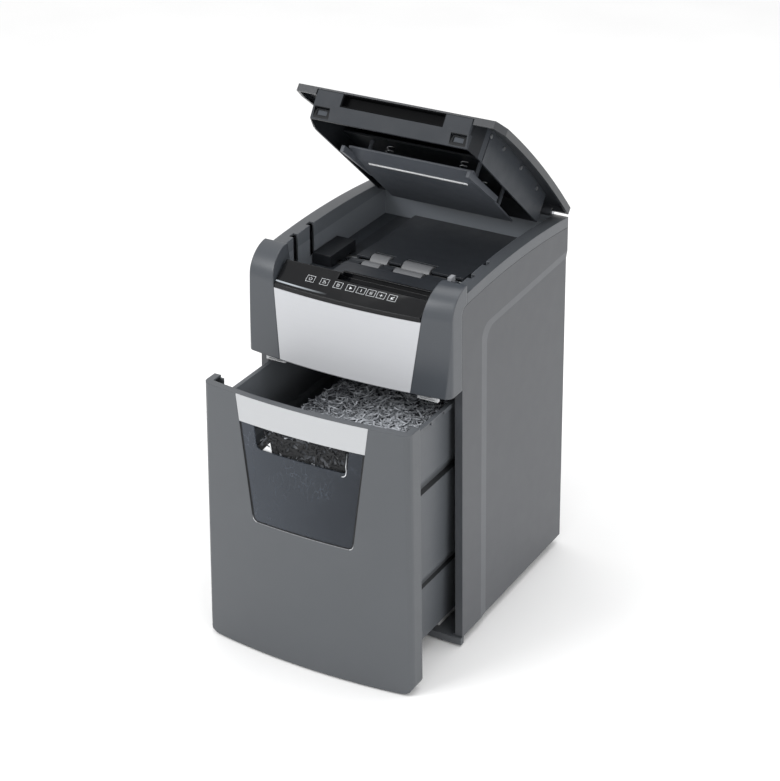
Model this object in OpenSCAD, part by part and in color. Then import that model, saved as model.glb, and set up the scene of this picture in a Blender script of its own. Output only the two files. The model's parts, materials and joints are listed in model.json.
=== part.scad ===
// Auto-feed paper shredder with a pull-out bin.
// Millimetres, +Z up, the front faces -Y, the base stands on z = 0.
// The lid stands open and the drawer is part way out: both move from there.
// Inside the modules y = 0 is the front edge of the side panels; at_origin() moves
// each finished piece so that the origin is under the middle of the whole machine.

/* [Cabinet] */
// Outside width at the top of the drawer
cab_w = 330; // [322:1:340]
// Depth of the side panels
cab_d = 335; // [331:1:350]
// How much each side leans out, per millimetre of height
side_lean = 0.0177; // [0.012:0.001:0.02]
// Thickness of the moulded walls
wall = 3; // [2.5:0.1:3.4]
// Height of the rubber feet
foot_h = 8; // [6:0.5:10]
// Radius of the rubber feet
foot_r = 9; // [7:0.5:11]
// Height of the lower edge of the side panels
skirt_z = 14.5; // [13:0.5:17]
// Height of the crown of the rim
rim_crown = 570; // [566:1:590]
// Width of the rim, from the outside to the tray opening
rim_w = 21.5; // [18:0.5:23]
// Height of the head band between the side panels and the rim
band_h = 16.5; // [14:0.5:20]
// Depth of the recessed field on each side
field_depth = 2; // [0.5:0.1:2.2]

/* [Fascia] */
// Radius of the bow of the front, seen from above
bow_r = 1008; // [950:1:1100]
// How far the middle of the front stands before the side panels
bow_y = 49; // [47:0.5:53]
// How far the fascia leans back at the top
fascia_lean = 6; // [4:0.5:8]
// Radius of the curl at the top of the two columns
curl_r = 45; // [42:1:48]
// Half width of the silver plate at the bottom
plate_x0 = 106; // [100:1:110]
// Half width of the silver plate at the top
plate_x1 = 118; // [112:1:122]
// Thickness of the silver plate
plate_t = 2; // [1.4:0.1:2.2]

/* [Drawer] */
// Height of the drawer front
drawer_top = 421; // [408:1:424]
// Gap under the drawer front
drawer_gap = 3; // [2:0.5:5]
// How far the drawer stands out
drawer_pull = 116; // [20:1:140]
// Depth of the flanges at the sides of the drawer front
flange_d = 24; // [18:1:26]
// Height of the silver band
band_z = 41; // [36:1:46]
// Height of the window under the band
window_z = 157; // [120:1:170]
// Distance from the side of the cabinet in to the rim of the bin
bin_side = 18; // [17:0.5:25]
// Distance from the top of the drawer front down to the rim of the bin
bin_drop = 25; // [23:1:30]
// Thickness of the bin's wall
bin_t = 2.5; // [2:0.1:3]
// Outside length of the bin, front to back
bin_d = 340; // [300:1:344]

/* [Lid] */
// Angle at which the lid stands open
lid_angle = 40.5; // [20:0.5:50]
// Thickness of the lid's edge
lid_t = 11; // [9:0.5:13]
// Depth of the skirt under the lid, below the crown of the rim
skirt_drop = 40; // [36:0.5:42]
// Radius of the hinge pins
pin_r = 3; // [2:0.1:3.4]
// Radius of the hinge knuckles
knuckle_r = 8; // [7:0.2:8.5]
// Half width of the pressure plate
press_x = 101; // [94:1:104]
// Travel of the pressure plate
press_travel = 12; // [8:1:14]

/* [Paper feed] */
// Radius of the feed rollers
roller_r = 14; // [12:0.2:14.2]
// Gap between the two feed rollers
roller_gap = 1; // [0.6:0.1:2]
// Radius of the feed shafts
feed_shaft_r = 4; // [3:0.1:4.6]
// Depth of the paper bed below the crown of the rim
bed_drop = 52; // [51:0.5:56]
// Distance from the end of the paper throat to the cutter plate
throat_side = 7; // [6:0.5:9]

/* [Cutting gear] */
// Radius of the cutter discs
disc_r = 23; // [21.5:0.5:24]
// Gap between neighbouring discs of the two shafts
disc_gap = 0.75; // [0.5:0.05:1.6]
// Number of discs on the front shaft
disc_count = 19; // [12:1:20]
// Radius of the cutter shafts
cutter_shaft_r = 9; // [7:0.5:10]
// Radius of the motor's can
motor_r = 33; // [28:0.5:34]
// Length of the motor's can
motor_l = 108; // [80:1:110]
// Radial clearance of shafts and pins in their bores
fit = 0.05; // [0.02:0.01:0.09]

/* [Hidden] */

$fn = 64;
gap = 0.4;          // seam between two outside pieces
clear = 0.3;        // clearance of pieces that pass each other
far = 400;          // longer than the machine is wide or deep
return_w = 12;      // front edge of the side panels, turned inwards
top_r = 12;         // radius of their top front corner

// Heights
lean_angle = atan(side_lean);
arch_r = 1607;      // radius of the arch of the rim, seen from the side
arch_y = 150;       // where the arch is highest
base_x = side_x(skirt_z) - 12;
deck_top = drawer_top - 12;
deck_t = 4;
fascia_z = drawer_top + 1.5;
column_top = rim_crown + 7;
plate_top = rim_crown - 40;
bed_z = rim_crown - bed_drop;
channel_z = bed_z - 10;
bin_rim = drawer_top - bin_drop;

// Plan
head_y = 14;                    // front of the head, behind the columns
tray_x = cab_w/2 - rim_w - 2.5; // half width of the tray opening
tray_back = cab_d - 13;         // rear of the tray opening
bin_x = cab_w/2 - bin_side;     // half width of the bin at the rim
bow_cy = bow_r - bow_y;         // centre of the bow of the front

// Feed rollers and cutters
feed_span = 2*roller_r + roller_gap;
nip_y = 0.415*cab_d;
roller_top = bed_z + 2;
feed_z = roller_top - roller_r;
feed_front = [nip_y - feed_span/2, feed_z];
feed_rear = [nip_y + feed_span/2, feed_z];
cutter_span = 40;
chute_room = 7;                 // height left for the manual chute above the discs
cutter_z = feed_z - roller_r - disc_r - chute_room;
cut_front = [nip_y - cutter_span/2, cutter_z];
cut_rear = [nip_y + cutter_span/2, cutter_z];
gear_room = 50;                 // gears and guard between the cutter plates and the outside
frame_x = cab_w/2 - gear_room;  // inner face of the cutter plates
throat_x = frame_x - throat_side;
frame_t = 3;

// Gears: module and number of teeth. The pitch radius is half their product.
sync_m = 2;
sync_n = 20;
slow_m = 2;
second_small_n = 10;
second_large_n = 29;
first_small_n = 11;
fast_m = 1.5;
first_large_n = 44;
pinion_n = 12;
feed_m = 1;
drive_n = 32;
idler_n = 20;
feed_n = round(feed_span/feed_m);

function pitch_r(m, n) = m*n/2;
function polar(c, r, a) = [c[0] + r*cos(a), c[1] + r*sin(a)];
function heading(a, b) = atan2(b[1] - a[1], b[0] - a[0]);

second_at = polar(cut_rear, pitch_r(slow_m, second_small_n) + pitch_r(sync_m, sync_n), -15);
first_at = polar(second_at, pitch_r(slow_m, second_large_n + first_small_n), 10);
motor_at = polar(first_at, pitch_r(fast_m, first_large_n + pinion_n), 2);

// The idler sits where its two centre distances meet, on the front side.
drive_reach = pitch_r(feed_m, drive_n + idler_n);
feed_reach = pitch_r(feed_m, idler_n + feed_n);
drive_span = norm(feed_front - cut_front);
idler_turn = acos((pow(drive_reach, 2) + pow(drive_span, 2) - pow(feed_reach, 2))
                  / (2*drive_reach*drive_span));
idler_at = polar(cut_front, drive_reach, heading(cut_front, feed_front) + idler_turn);

// Phase that makes a gear at b mesh with a gear at a: a tooth of one meets a gap of the other.
function mesh_phase(a, phase_a, n_a, b, n_b) =
  let (turn = heading(a, b), step_a = 360/n_a, part = (turn - phase_a)/step_a)
  turn + 180 - (360/n_b)*(0.5 - (part - floor(part)));

rear_phase = 0;
front_phase = mesh_phase(cut_rear, rear_phase, sync_n, cut_front, sync_n);
second_small_phase = mesh_phase(cut_rear, rear_phase, sync_n, second_at, second_small_n);
second_large_phase = 0;
first_small_phase = mesh_phase(second_at, second_large_phase, second_large_n, first_at, first_small_n);
first_large_phase = 0;
pinion_phase = mesh_phase(first_at, first_large_phase, first_large_n, motor_at, pinion_n);
drive_phase = 0;
idler_phase = mesh_phase(cut_front, drive_phase, drive_n, idler_at, idler_n);
feed_front_phase = mesh_phase(idler_at, idler_phase, idler_n, feed_front, feed_n);
feed_rear_phase = mesh_phase(feed_front, feed_front_phase, feed_n, feed_rear, feed_n);

// Layers of the gears along X, right side outwards, then left side
layer_a = [frame_x + frame_t + 2, frame_x + frame_t + 10];
layer_b = [layer_a[1] + 2, layer_a[1] + 8];
layer_c = [layer_b[1] + 2, layer_b[1] + 7];
guard_at = layer_c[1] + 3;
feed_layer = [-frame_x - frame_t - 10, -frame_x - frame_t - 4];

// Lid, closed
hinge = [cab_d + 3, arch_z(cab_d) + 0.7];
lid_y = head_y + 0.5;
lid_corner = 30;                // length of the slanted front corners
lid_skin = 3;
skirt_bottom = rim_crown - skirt_drop;
skirt_x = tray_x - 7;
skirt_front = skirt_x - 12;     // half width of the skirt's front wall
skirt_turn = 56;                // where its slanted corners reach the sides
frame_y = lid_y + 7.5;          // lower edge of the skirt's front wall
knuckle_in = cab_w/2 - 80;      // inner end of each hinge
knuckle_l = [15, 20, 15];       // housing, lid, housing
press_z = bed_z + 1;            // underside of the hanging pressure plate, at its back
press_y = 112;
press_d = tray_back - 35 - press_y;
press_bend = press_y + 31;      // behind this the plate is flat
cross_z = rim_crown - 14;       // underside of the cross plate that guides it
grip_x = 81;

// The whole machine, front to back, at rest
front_most = -bow_y - drawer_pull;
lid_rear_top = [cab_d - 1, arch_z(cab_d - 1) + 1 + lid_t];
lid_rear = hinge[0] + (lid_rear_top[0] - hinge[0])*cos(lid_angle)
         + (lid_rear_top[1] - hinge[1])*sin(lid_angle);
rear_most = max(lid_rear, hinge[0] + knuckle_r);
mid_y = (front_most + rear_most)/2;

function side_x(z) = cab_w/2 + side_lean*(drawer_top - z);
function arch_z(y) = rim_crown - arch_r + sqrt(pow(arch_r, 2) - pow(y - arch_y, 2));
function bow_at(x, inset = 0) = bow_cy - sqrt(pow(bow_r - inset, 2) - x*x);

// ---------------------------------------------------------------- helpers

module at_origin() { translate([0, -mid_y, 0]) children(); }

// Extrudes a (y, z) outline along X, or an (x, z) outline along Y.
module along_x(x0, x1) {
  translate([x0, 0, 0]) rotate([90, 0, 90]) linear_extrude(x1 - x0) children();
}
module along_y(y0, y1) {
  translate([0, y1, 0]) rotate([90, 0, 0]) linear_extrude(y1 - y0) children();
}
module rod_x(x0, x1, c, r) {
  translate([x0, c[0], c[1]]) rotate([0, 90, 0]) cylinder(h = x1 - x0, r = r);
}
module both_sides() {
  children();
  mirror([1, 0, 0]) children();
}
module box(x, y, z) {
  translate([x[0], y[0], z[0]]) cube([x[1] - x[0], y[1] - y[0], z[1] - z[0]]);
}

// Points of an arc about c from angle a0 to a1.
function arc(c, r, a0, a1, n = 8) =
  [for (i = [0:n]) let (a = a0 + (a1 - a0)*i/n) [c[0] + r*cos(a), c[1] + r*sin(a)]];
// Outline from its right half, bottom to top.
module mirrored(right) {
  n = len(right);
  polygon(concat(right, [for (i = [1:n]) [-right[n - i][0], right[n - i][1]]]));
}

// Area under the arch of the rim, moved down by drop, as a (y, z) outline.
module under_arch(drop) {
  translate([arch_y, rim_crown - arch_r - drop]) circle(r = arch_r, $fn = 1440);
}
module arch_band(y0, y1, drop0, drop1) {
  intersection() {
    difference() { under_arch(drop0); under_arch(drop1); }
    translate([y0, skirt_z]) square([y1 - y0, far*2]);
  }
}
// Front view of the cabinet between two heights, inset from its leaning sides.
module front_outline(z0, z1, inset) {
  polygon([[-side_x(z0) + inset, z0], [side_x(z0) - inset, z0],
           [side_x(z1) - inset, z1], [-side_x(z1) + inset, z1]]);
}
module cabinet_block(y0, y1, z0, z1, inset) {
  along_y(y0, y1) front_outline(z0, z1, inset);
}
// Local frame of the right side: x = 0 is the leaning outside face.
module on_side() {
  translate([cab_w/2, 0, drawer_top]) rotate([0, -lean_angle, 0])
    translate([0, 0, -drawer_top]) children();
}
// Takes the corner off the front edge of a column or drawer front.
module corner_cut(z0, z1) {
  r = 12;
  y = bow_at(cab_w/2 - r);
  both_sides() on_side() difference() {
    box([-r, r], [y - r, y + r], [z0 - 5, z1 + 5]);
    translate([-r, y + r, z0 - 6]) cylinder(h = z1 - z0 + 12, r = r);
  }
}
// Upright cylinder wall that follows the bow of the front.
module bow_solid(z0, z1, inset) {
  translate([0, bow_cy, z0]) cylinder(h = z1 - z0, r = bow_r - inset, $fn = 1440);
}

// Flat gear in the YZ plane between x0 and x1.
module gear(x, at, m, n, phase, bore) {
  r = pitch_r(m, n);
  half = 90/n;
  tip = r + 0.75*m;
  root = r - 0.95*m;
  outline = [for (i = [0:n - 1]) for (p = [[root, -1.15], [r, -0.75], [tip, -0.38],
             [tip, 0.38], [r, 0.75], [root, 1.15]])
             let (a = phase + i*360/n + p[1]*half) [at[0] + p[0]*cos(a), at[1] + p[0]*sin(a)]];
  difference() {
    along_x(x[0], x[1]) polygon(outline);
    rod_x(x[0] - 1, x[1] + 1, at, bore);
  }
}

// ---------------------------------------------------------------- cabinet

module feet() {
  color("#26282b") at_origin()
    for (x = [-1, 1], y = [28, cab_d - 20])
      translate([x*(base_x - foot_r), y, 0]) cylinder(h = foot_h, r = foot_r);
}

module base_tray() {
  lip = 4;
  color("#4b5056") at_origin() difference() {
    union() {
      box([-base_x, base_x], [lip, cab_d - wall - clear], [foot_h, skirt_z]);
      cabinet_block(-lip, lip + 1, drawer_gap, skirt_z, 0.5);
    }
    for (i = [-2:2]) translate([i*55, cab_d/2, foot_h - 1]) {
      translate([-16, -60, 0]) cube([32, 120, 3.5]);
    }
  }
}

// Recessed field of a side panel as a (y, z) outline, moved in by shrink.
module field_outline(shrink) {
  y = 58.5 + 1.6*shrink;
  z = rim_crown - 73 - shrink;
  r = 24;
  rise = 0.035;
  polygon(concat([[y, -10]], arc([y + r, z - r], r, 180, 92, 10),
    [[cab_d + far, z + rise*(cab_d + far - y - r)], [cab_d + far, -10]]));
}

// Right side panel, outside face at x = 0 in its own leaning frame.
module side_sheet() {
  low = skirt_z + gap;
  difference() {
    union() {
      along_x(-wall, 0) intersection() {
        under_arch(band_h);
        translate([0, low]) square([cab_d, far*2]);
      }
      box([-return_w, -1], [0, wall], [low, rim_crown - 40]);
      box([-return_w - 3, -1], [0, cab_d - wall - clear], [low, low + wall]);
    }
    along_x(-return_w - 4, 1) difference() {
      translate([-1, arch_z(0) - band_h - top_r]) square([top_r + 1, 3*top_r]);
      translate([top_r, arch_z(top_r) - band_h - top_r]) circle(r = top_r);
    }
    hull() {
      along_x(-0.01, 1) field_outline(0);
      along_x(-field_depth, 1) field_outline(12);
    }
  }
}
module side_panel_right() {
  color("#73777c") at_origin() on_side() side_sheet();
}
module side_panel_left() {
  color("#73777c") at_origin() mirror([1, 0, 0]) on_side() side_sheet();
}

inlet_at = [18 - frame_x, deck_top + 50];
switch_at = [inlet_at[0] + 50, inlet_at[1]];
module back_panel() {
  top = arch_z(cab_d) - band_h - gap;
  color("#5d6166") at_origin() difference() {
    along_y(cab_d - wall, cab_d) front_outline(skirt_z, top, wall + gap);
    for (i = [0:9]) translate([40, cab_d - wall - 1, deck_top + 30 + i*8]) cube([90, wall + 2, 3.5]);
    translate([inlet_at[0], 0, inlet_at[1]]) box([-14.3, 14.3], [cab_d - 5, cab_d + 1], [-10.3, 10.3]);
    translate([switch_at[0], 0, switch_at[1]]) box([-11.3, 11.3], [cab_d - 5, cab_d + 1], [-15.3, 15.3]);
    for (x = [-1, 1], z = screw_rows) translate([x*screw_x, cab_d - wall - 1, z])
      rotate([-90, 0, 0]) cylinder(h = wall + 2, r = 2 + fit);
  }
}

screw_rows = [skirt_z + 25, (skirt_z + deck_top)/2, deck_top - 20];
screw_x = cab_w/2 - 14;
module back_screws() {
  color("#9b9ea2") at_origin() for (x = [-1, 1], z = screw_rows)
    translate([x*screw_x, cab_d - wall - 8, z]) rotate([-90, 0, 0]) difference() {
      union() {
        cylinder(h = wall + 8, r = 2);
        translate([0, 0, wall + 8]) cylinder(h = 2, r = 4);
      }
      translate([0, 0, wall + 9]) for (a = [0, 90]) rotate(a) translate([-2.4, -0.5, 0]) cube([4.8, 1, 2]);
    }
}

// ---------------------------------------------------------------- head

module head_block(y0, y1, drop, inset) {
  intersection() {
    along_x(-far, far) intersection() {
      under_arch(drop);
      translate([y0, channel_z]) square([y1 - y0, far]);
    }
    cabinet_block(y0, y1, channel_z - 1, rim_crown + 1, inset);
  }
}
module tray_wall(y0, y1) {
  intersection() {
    under_arch(wall/2);
    translate([y0, channel_z]) square([y1 - y0, far]);
  }
}
module top_housing() {
  inner = tray_x + wall;
  hinge_w = knuckle_l[0] + knuckle_l[1] + knuckle_l[2];
  lap = knuckle_in + knuckle_l[0];
  color("#6f7378") at_origin() difference() {
    union() {
      // rim and its skirt
      difference() {
        head_block(head_y, cab_d, 0, 0);
        head_block(head_y - 1, cab_d - wall, wall, wall);
        along_x(-far, far) under_arch(band_h - gap);
        box([-tray_x, tray_x], [head_y - 1, tray_back], [0, far*2]);
      }
      both_sides() along_x(tray_x, inner) tray_wall(head_y, tray_back + wall);
      along_x(-inner, inner) tray_wall(tray_back, tray_back + wall);
      both_sides() rod_x(knuckle_in, lap, hinge, knuckle_r);
      both_sides() rod_x(lap + knuckle_l[1], knuckle_in + hinge_w, hinge, knuckle_r);
    }
    both_sides() {
      rod_x(lap - clear, lap + knuckle_l[1] + clear, hinge, knuckle_r + 1);
      rod_x(knuckle_in - 1, knuckle_in + hinge_w + 1, hinge, pin_r + fit);
      rod_x(knuckle_in + hinge_w, knuckle_in + hinge_w + 2, hinge, pin_r + 2);
      // two guide slots through each tray wall
      for (y = [61, 106])
        box([tray_x - 1, tray_x + wall + 4], [y - 6, y + 6], [channel_z + 12, far*2]);
    }
  }
}

// Solid of the fascia: bowed in plan, leaning, curled back at the top.
module fascia_solid(inset) {
  spread = 11;
  r_top = bow_r - fascia_lean - curl_r;
  z_curl = column_top - curl_r;
  intersection() {
    translate([0, bow_cy, 0]) rotate([0, 0, -90 - spread])
      rotate_extrude(angle = 2*spread, $fn = 1440) union() {
        polygon([[bow_r - 75, fascia_z], [bow_r - inset, fascia_z],
                 [bow_r - fascia_lean - inset, z_curl], [bow_r - 75, z_curl]]);
        intersection() {
          translate([r_top, z_curl]) circle(r = curl_r - inset, $fn = 96);
          translate([bow_r - 75, z_curl]) square([75, curl_r + 1]);
        }
        translate([bow_r - 75, z_curl]) square([r_top - bow_r + 75, curl_r - inset]);
      }
    cabinet_block(-far/2, head_y - gap, fascia_z + (inset > 0 ? wall : 0), column_top + 1, inset);
  }
}
module column_edge(grow) {
  z_curl = plate_top;
  both_sides() along_y(-far/2, head_y + 1) polygon([
    [plate_x0 - grow, fascia_z - 1], [plate_x1 - grow, z_curl], [plate_x1 + 7 - grow, column_top + 1],
    [far, column_top + 1], [far, fascia_z - 1]]);
}
module front_fascia() {
  color("#55595e") at_origin() difference() {
    fascia_solid(0);
    corner_cut(fascia_z, column_top);
    difference() {
      fascia_solid(wall);
      difference() { column_edge(0); column_edge(-wall); }
    }
    // opening over the silver plate
    difference() {
      box([-far, far], [-far, far], [plate_top, far*2]);
      column_edge(0);
    }
    plate_solid(0.2, plate_t, -1);
    both_sides() on_side() along_x(-return_w - 1, 5) panel_corner(gap);
  }
}
// Top front corner of a side panel, grown by grow, as a (y, z) outline.
module panel_corner(grow) {
  z = arch_z(top_r) - band_h - top_r;
  translate([-grow, fascia_z - 5]) square([far, z - fascia_z + 5]);
  translate([top_r, z - 1]) square([far, top_r + 1 + grow]);
  translate([top_r, z]) circle(r = top_r + grow);
}
// Space of the silver plate, grown by grow, thickness t, out past the skin by out.
module plate_solid(grow, t, out) {
  z0 = fascia_z + 1 - grow;
  z1 = plate_top + grow;
  lean = fascia_lean/(column_top - curl_r - fascia_z);
  intersection() {
    translate([0, bow_cy, 0]) rotate([0, 0, -98]) rotate_extrude(angle = 16, $fn = 1440)
      polygon([[bow_r - t - lean*(z0 - fascia_z), z0], [bow_r - out - lean*(z0 - fascia_z), z0],
               [bow_r - out - lean*(z1 - fascia_z), z1], [bow_r - t - lean*(z1 - fascia_z), z1]]);
    along_y(-far, 0) polygon([
      [-plate_x0 - 0.2 - grow + 0.4, z0], [plate_x0 + 0.2 + grow - 0.4, z0],
      [plate_x1 - 0.2 + grow, z1], [-plate_x1 + 0.2 - grow, z1]]);
  }
}
module fascia_plate() {
  color("#c3c5c8") at_origin() plate_solid(0, plate_t - 0.05, 0.2);
}

panel_z = plate_top + gap;
panel_rear = [0, rim_crown - 10];
module panel_block(drop) {
  x = plate_x1 - 1;
  r = 1.5;
  hull() {
    intersection() {
      bow_solid(panel_z - drop, panel_z + 6 - drop, fascia_lean + 0.5 + drop);
      box([-x, x], [-far, bow_at(x) + fascia_lean + 5], [0, far*2]);
    }
    rod_x(-x, x, [panel_rear[0] - r - drop, panel_rear[1] - r - drop], r, $fn = 32);
  }
}
module control_panel() {
  slot = [chute_x[0], plate_x1 - 3];
  edge = plate_x1 - 1;
  back = head_y - gap;
  floor_z = rim_crown - 24;          // of the pocket behind the manual slot
  shelf_z = panel_rear[1] - 8;       // of the land beside it
  color("#191b1e") at_origin() union() {
    difference() {
      panel_block(0);
      translate([0, wall, -wall]) panel_block(0);
      box([-far, far], [-far, far], [0, panel_z]);
      box(slot, [-12, 4], [panel_z, far*2]);
    }
    box([-edge, slot[0]], [-wall, -1], [shelf_z - wall, panel_rear[1] - 2]);
    box([-edge, slot[0]], [-wall, back], [shelf_z - wall, shelf_z]);
    box([slot[0] - wall, slot[0]], [-wall, back], [floor_z, panel_rear[1] - 4]);
    box([slot[0] - wall, edge], [back - wall, back], [floor_z, panel_rear[1] - 4]);
    box([slot[1], edge], [-wall, back], [floor_z, panel_rear[1] - 2]);
    box([slot[0] - wall, edge], [-1.4, back], [floor_z, floor_z + 2]);
  }
}
module panel_board() {
  color("#2f5d3a") at_origin() union() {
    box([-95, 95], [-34, -13], [plate_top - 6, plate_top - 4.4]);
    for (i = [0:7]) box([-72 + i*18, -67 + i*18], [-28, -23], [plate_top - 4.4, plate_top - 1.5]);
  }
}

// Pale spring clips under the columns that hold the closed drawer.
module latch_clips() {
  x = [cab_w/2 - 57, cab_w/2 - 25];
  leg = 10;
  z = fascia_z - 14;
  color("#d9dadb") at_origin() both_sides() difference() {
    union() {
      box(x, [-26, -20], [z, z + 5]);
      for (x0 = [x[0], x[1] - leg]) box([x0, x0 + leg], [-26, -23.5], [z, fascia_z]);
    }
    box([x[0] + 5, x[1] - 5], [-27, -23], [z + 1.5, z + 3.5]);
  }
}

// Floor of the tray: two side channels, a raised bed and its carrying walls.
// Before the rollers the bed is level with their tops.
bed_x = frame_x - 27;
module paper_tray() {
  outer = tray_x + wall;
  slot_y = [feed_front[0] - roller_r + 1.5, feed_rear[0] + roller_r - 0.5];
  low = feed_z - 9;
  color("#3b4046") at_origin() difference() {
    union() {
      box([-outer, outer], [head_y, tray_back + wall], [channel_z - wall, channel_z]);
      along_x(-bed_x, bed_x) polygon([
        [head_y, channel_z - 1], [head_y, roller_top + 4], [head_y + 6, roller_top + 0.5],
        [head_y + 14, roller_top], [slot_y[0], roller_top], [slot_y[0] + 12, bed_z],
        [slot_y[1], bed_z - 1], [slot_y[1] + 30, bed_z - 3],
        [tray_back, bed_z - 3], [tray_back, channel_z - 1]]);
      both_sides() box([bed_x - wall, bed_x], [slot_y[0] - 9, slot_y[1] + 7], [low, bed_z - 2]);
    }
    along_x(-bed_x + wall, bed_x - wall) polygon([
      [head_y + wall, low - 1], [head_y + wall, roller_top - wall], [slot_y[0], roller_top - wall],
      [slot_y[0] + 12, bed_z - wall], [slot_y[1] + 30, bed_z - 3 - wall],
      [tray_back - wall, bed_z - 3 - wall], [tray_back - wall, low - 1]]);
    // throat, pockets of the rollers and passage of the feed gears
    box([-throat_x, throat_x], [nip_y - 6.5, nip_y + 6.5], [0, far*2]);
    for (span = roller_spans) box([span[0] - 2, span[1] + 2], slot_y, [0, far*2]);
    box([feed_layer[0] - 3, feed_layer[1] + 3],
        [slot_y[0] - 6, slot_y[1] + 4], [0, bed_z]);
    for (c = [feed_front, feed_rear]) {
      rod_x(-bed_x - 1, bed_x + 1, c, bush_r(feed_shaft_r) + fit);
      box([feed_layer[0] - 3, -bed_x - 0.5], [c[0] - 5, c[0] + 5], [0, channel_z + 1]);
      box([bed_x, bed_x + 2], [c[0] - 5, c[0] + 5], [0, channel_z + 1]);
    }
  }
}

function bush_r(shaft_r) = shaft_r + 2;
module bush(x0, at, shaft_r, length) {
  difference() {
    rod_x(x0, x0 + length, at, bush_r(shaft_r));
    rod_x(x0 - 1, x0 + length + 1, at, shaft_r + fit);
  }
}
module shaft_bushes() {
  color("#b8905a") at_origin() {
    for (c = [feed_front, feed_rear], x = [-bed_x, bed_x - wall]) bush(x, c, feed_shaft_r, wall);
    for (c = [cut_front, cut_rear], x = [-frame_x - frame_t, frame_x]) bush(x, c, cutter_end_r, frame_t);
  }
}

// Box over the feed gears in the left channel.
module feed_gear_cover() {
  y = [feed_front[0] - roller_r - 7, feed_rear[0] + roller_r + 7];
  x = [-tray_x + 2, feed_layer[1] + 14];
  top = feed_z + pitch_r(feed_m, feed_n) + 5;
  color("#43484e") at_origin() difference() {
    box(x, y, [channel_z, top]);
    box([x[0] + 2, x[1] - 2], [y[0] + 2, y[1] - 2], [channel_z - 1, top - 2]);
    for (c = [feed_front, feed_rear])
      box([x[1] - 3, x[1] + 1], [c[0] - feed_shaft_r - 1, c[0] + feed_shaft_r + 1],
          [channel_z - 1, c[1] + feed_shaft_r + 1]);
  }
}

// Small post at the front right of the tray that the closed lid catches on.
module lid_catch() {
  x = tray_x - 18;
  top = rim_crown - 3;
  color("#a5a7a9") at_origin() union() {
    box([x - 12, x - 3], [40, 46], [channel_z, top - 9]);
    box([x - 6, x], [42, 54], [channel_z, top]);
  }
}

// Shelf that carries the cutter block. The strips fall through its opening.
module head_deck() {
  x = side_x(deck_top) - wall - 0.2;
  color("#8d9196") at_origin() difference() {
    union() {
      box([-x, x], [head_y + 1, cab_d - wall - 1], [deck_top - deck_t, deck_top]);
      both_sides() box([x - 2, x], [head_y + 1, cab_d - wall - 1], [deck_top - 12, deck_top]);
    }
    box([-frame_x + 6, frame_x - 6], [cut_front[0] - disc_r - 4, cut_rear[0] + disc_r + 4],
        [deck_top - deck_t - 1, deck_top + 1]);
  }
}

// Flat duct from the manual slot under the feed rollers to the cutters.
chute_end = nip_y - 14;
chute_x = [-28, frame_x - 3];
module chute_outline(t) {
  low = cutter_z + disc_r + 2;
  polygon([[-9 - t, rim_crown - 22], [-3 + t, rim_crown - 22], [-3 + t, low + 21], [4 + t, low + 12 + t],
           [30, low + 7 + t], [chute_end, low + 3 + t], [chute_end, low - t], [24, low + 3 - t],
           [2 - t, low + 7 - t], [-9 - t, low + 19]]);
}
module manual_chute() {
  color("#50555b") at_origin() difference() {
    along_x(chute_x[0] - 1, chute_x[1] + 1) chute_outline(1);
    along_x(chute_x[0], chute_x[1]) chute_outline(0);
    box(chute_x, [-9, -3], [rim_crown - 23, rim_crown]);
    box(chute_x, [chute_end - 1, chute_end + 1], [cutter_z + disc_r + 2, cutter_z + disc_r + 5]);
  }
}

// ---------------------------------------------------------------- cutter block

cutter_end_r = 6;
plate_y = [cut_front[0] - 34, motor_at[0] + 38];
module cutter_plate(x) {
  difference() {
    union() {
      along_x(x, x + frame_t) polygon([
        [plate_y[0], deck_top], [plate_y[1], deck_top], [plate_y[1], motor_at[1] + 20],
        [plate_y[1] - 14, cutter_z + 34], [cut_front[0] - 20, cutter_z + 34],
        [plate_y[0], cutter_z + 10]]);
      box([x > 0 ? x - 12 : x, x > 0 ? x + frame_t : x + frame_t + 12],
          [plate_y[1] - 40, plate_y[1]], [deck_top, deck_top + 3]);
    }
    for (c = [cut_front, cut_rear]) rod_x(x - 1, x + frame_t + 1, c, bush_r(cutter_end_r) + fit);
    for (c = rod_places) rod_x(x - 1, x + frame_t + 1, c, rod_r + fit);
  }
}
rod_r = 4;
rod_places = [[plate_y[0] + 10, deck_top + 14], [cut_rear[0] + 34, deck_top + 14],
              [plate_y[1] - 16, deck_top + 10], [cut_rear[0] + 36, cutter_z + 26]];

module cutter_plate_left() {
  color("#9a9da1") at_origin() difference() {
    cutter_plate(-frame_x - frame_t);
    rod_x(-frame_x - frame_t - 1, -frame_x + 1, idler_at, 3 + fit);
  }
}
module cutter_plate_right() {
  color("#9a9da1") at_origin() difference() {
    cutter_plate(frame_x);
    rod_x(frame_x - 1, frame_x + frame_t + 1, motor_at, motor_shaft_r + 3);
    for (c = [first_at, second_at]) rod_x(frame_x - 1, frame_x + frame_t + 1, c, axle_r + fit);
  }
}
module tie_rods() {
  color("#a7aaae") at_origin() for (c = rod_places) union() {
    rod_x(-frame_x - frame_t, frame_x + frame_t, c, rod_r);
    rod_x(-frame_x, frame_x, c, rod_r + 2);
    rod_x(-frame_x - frame_t - 3, -frame_x - frame_t, c, rod_r + 2.5, $fn = 6);
    rod_x(frame_x + frame_t, frame_x + frame_t + 1.6, c, rod_r + 2.5);
  }
}

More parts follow.
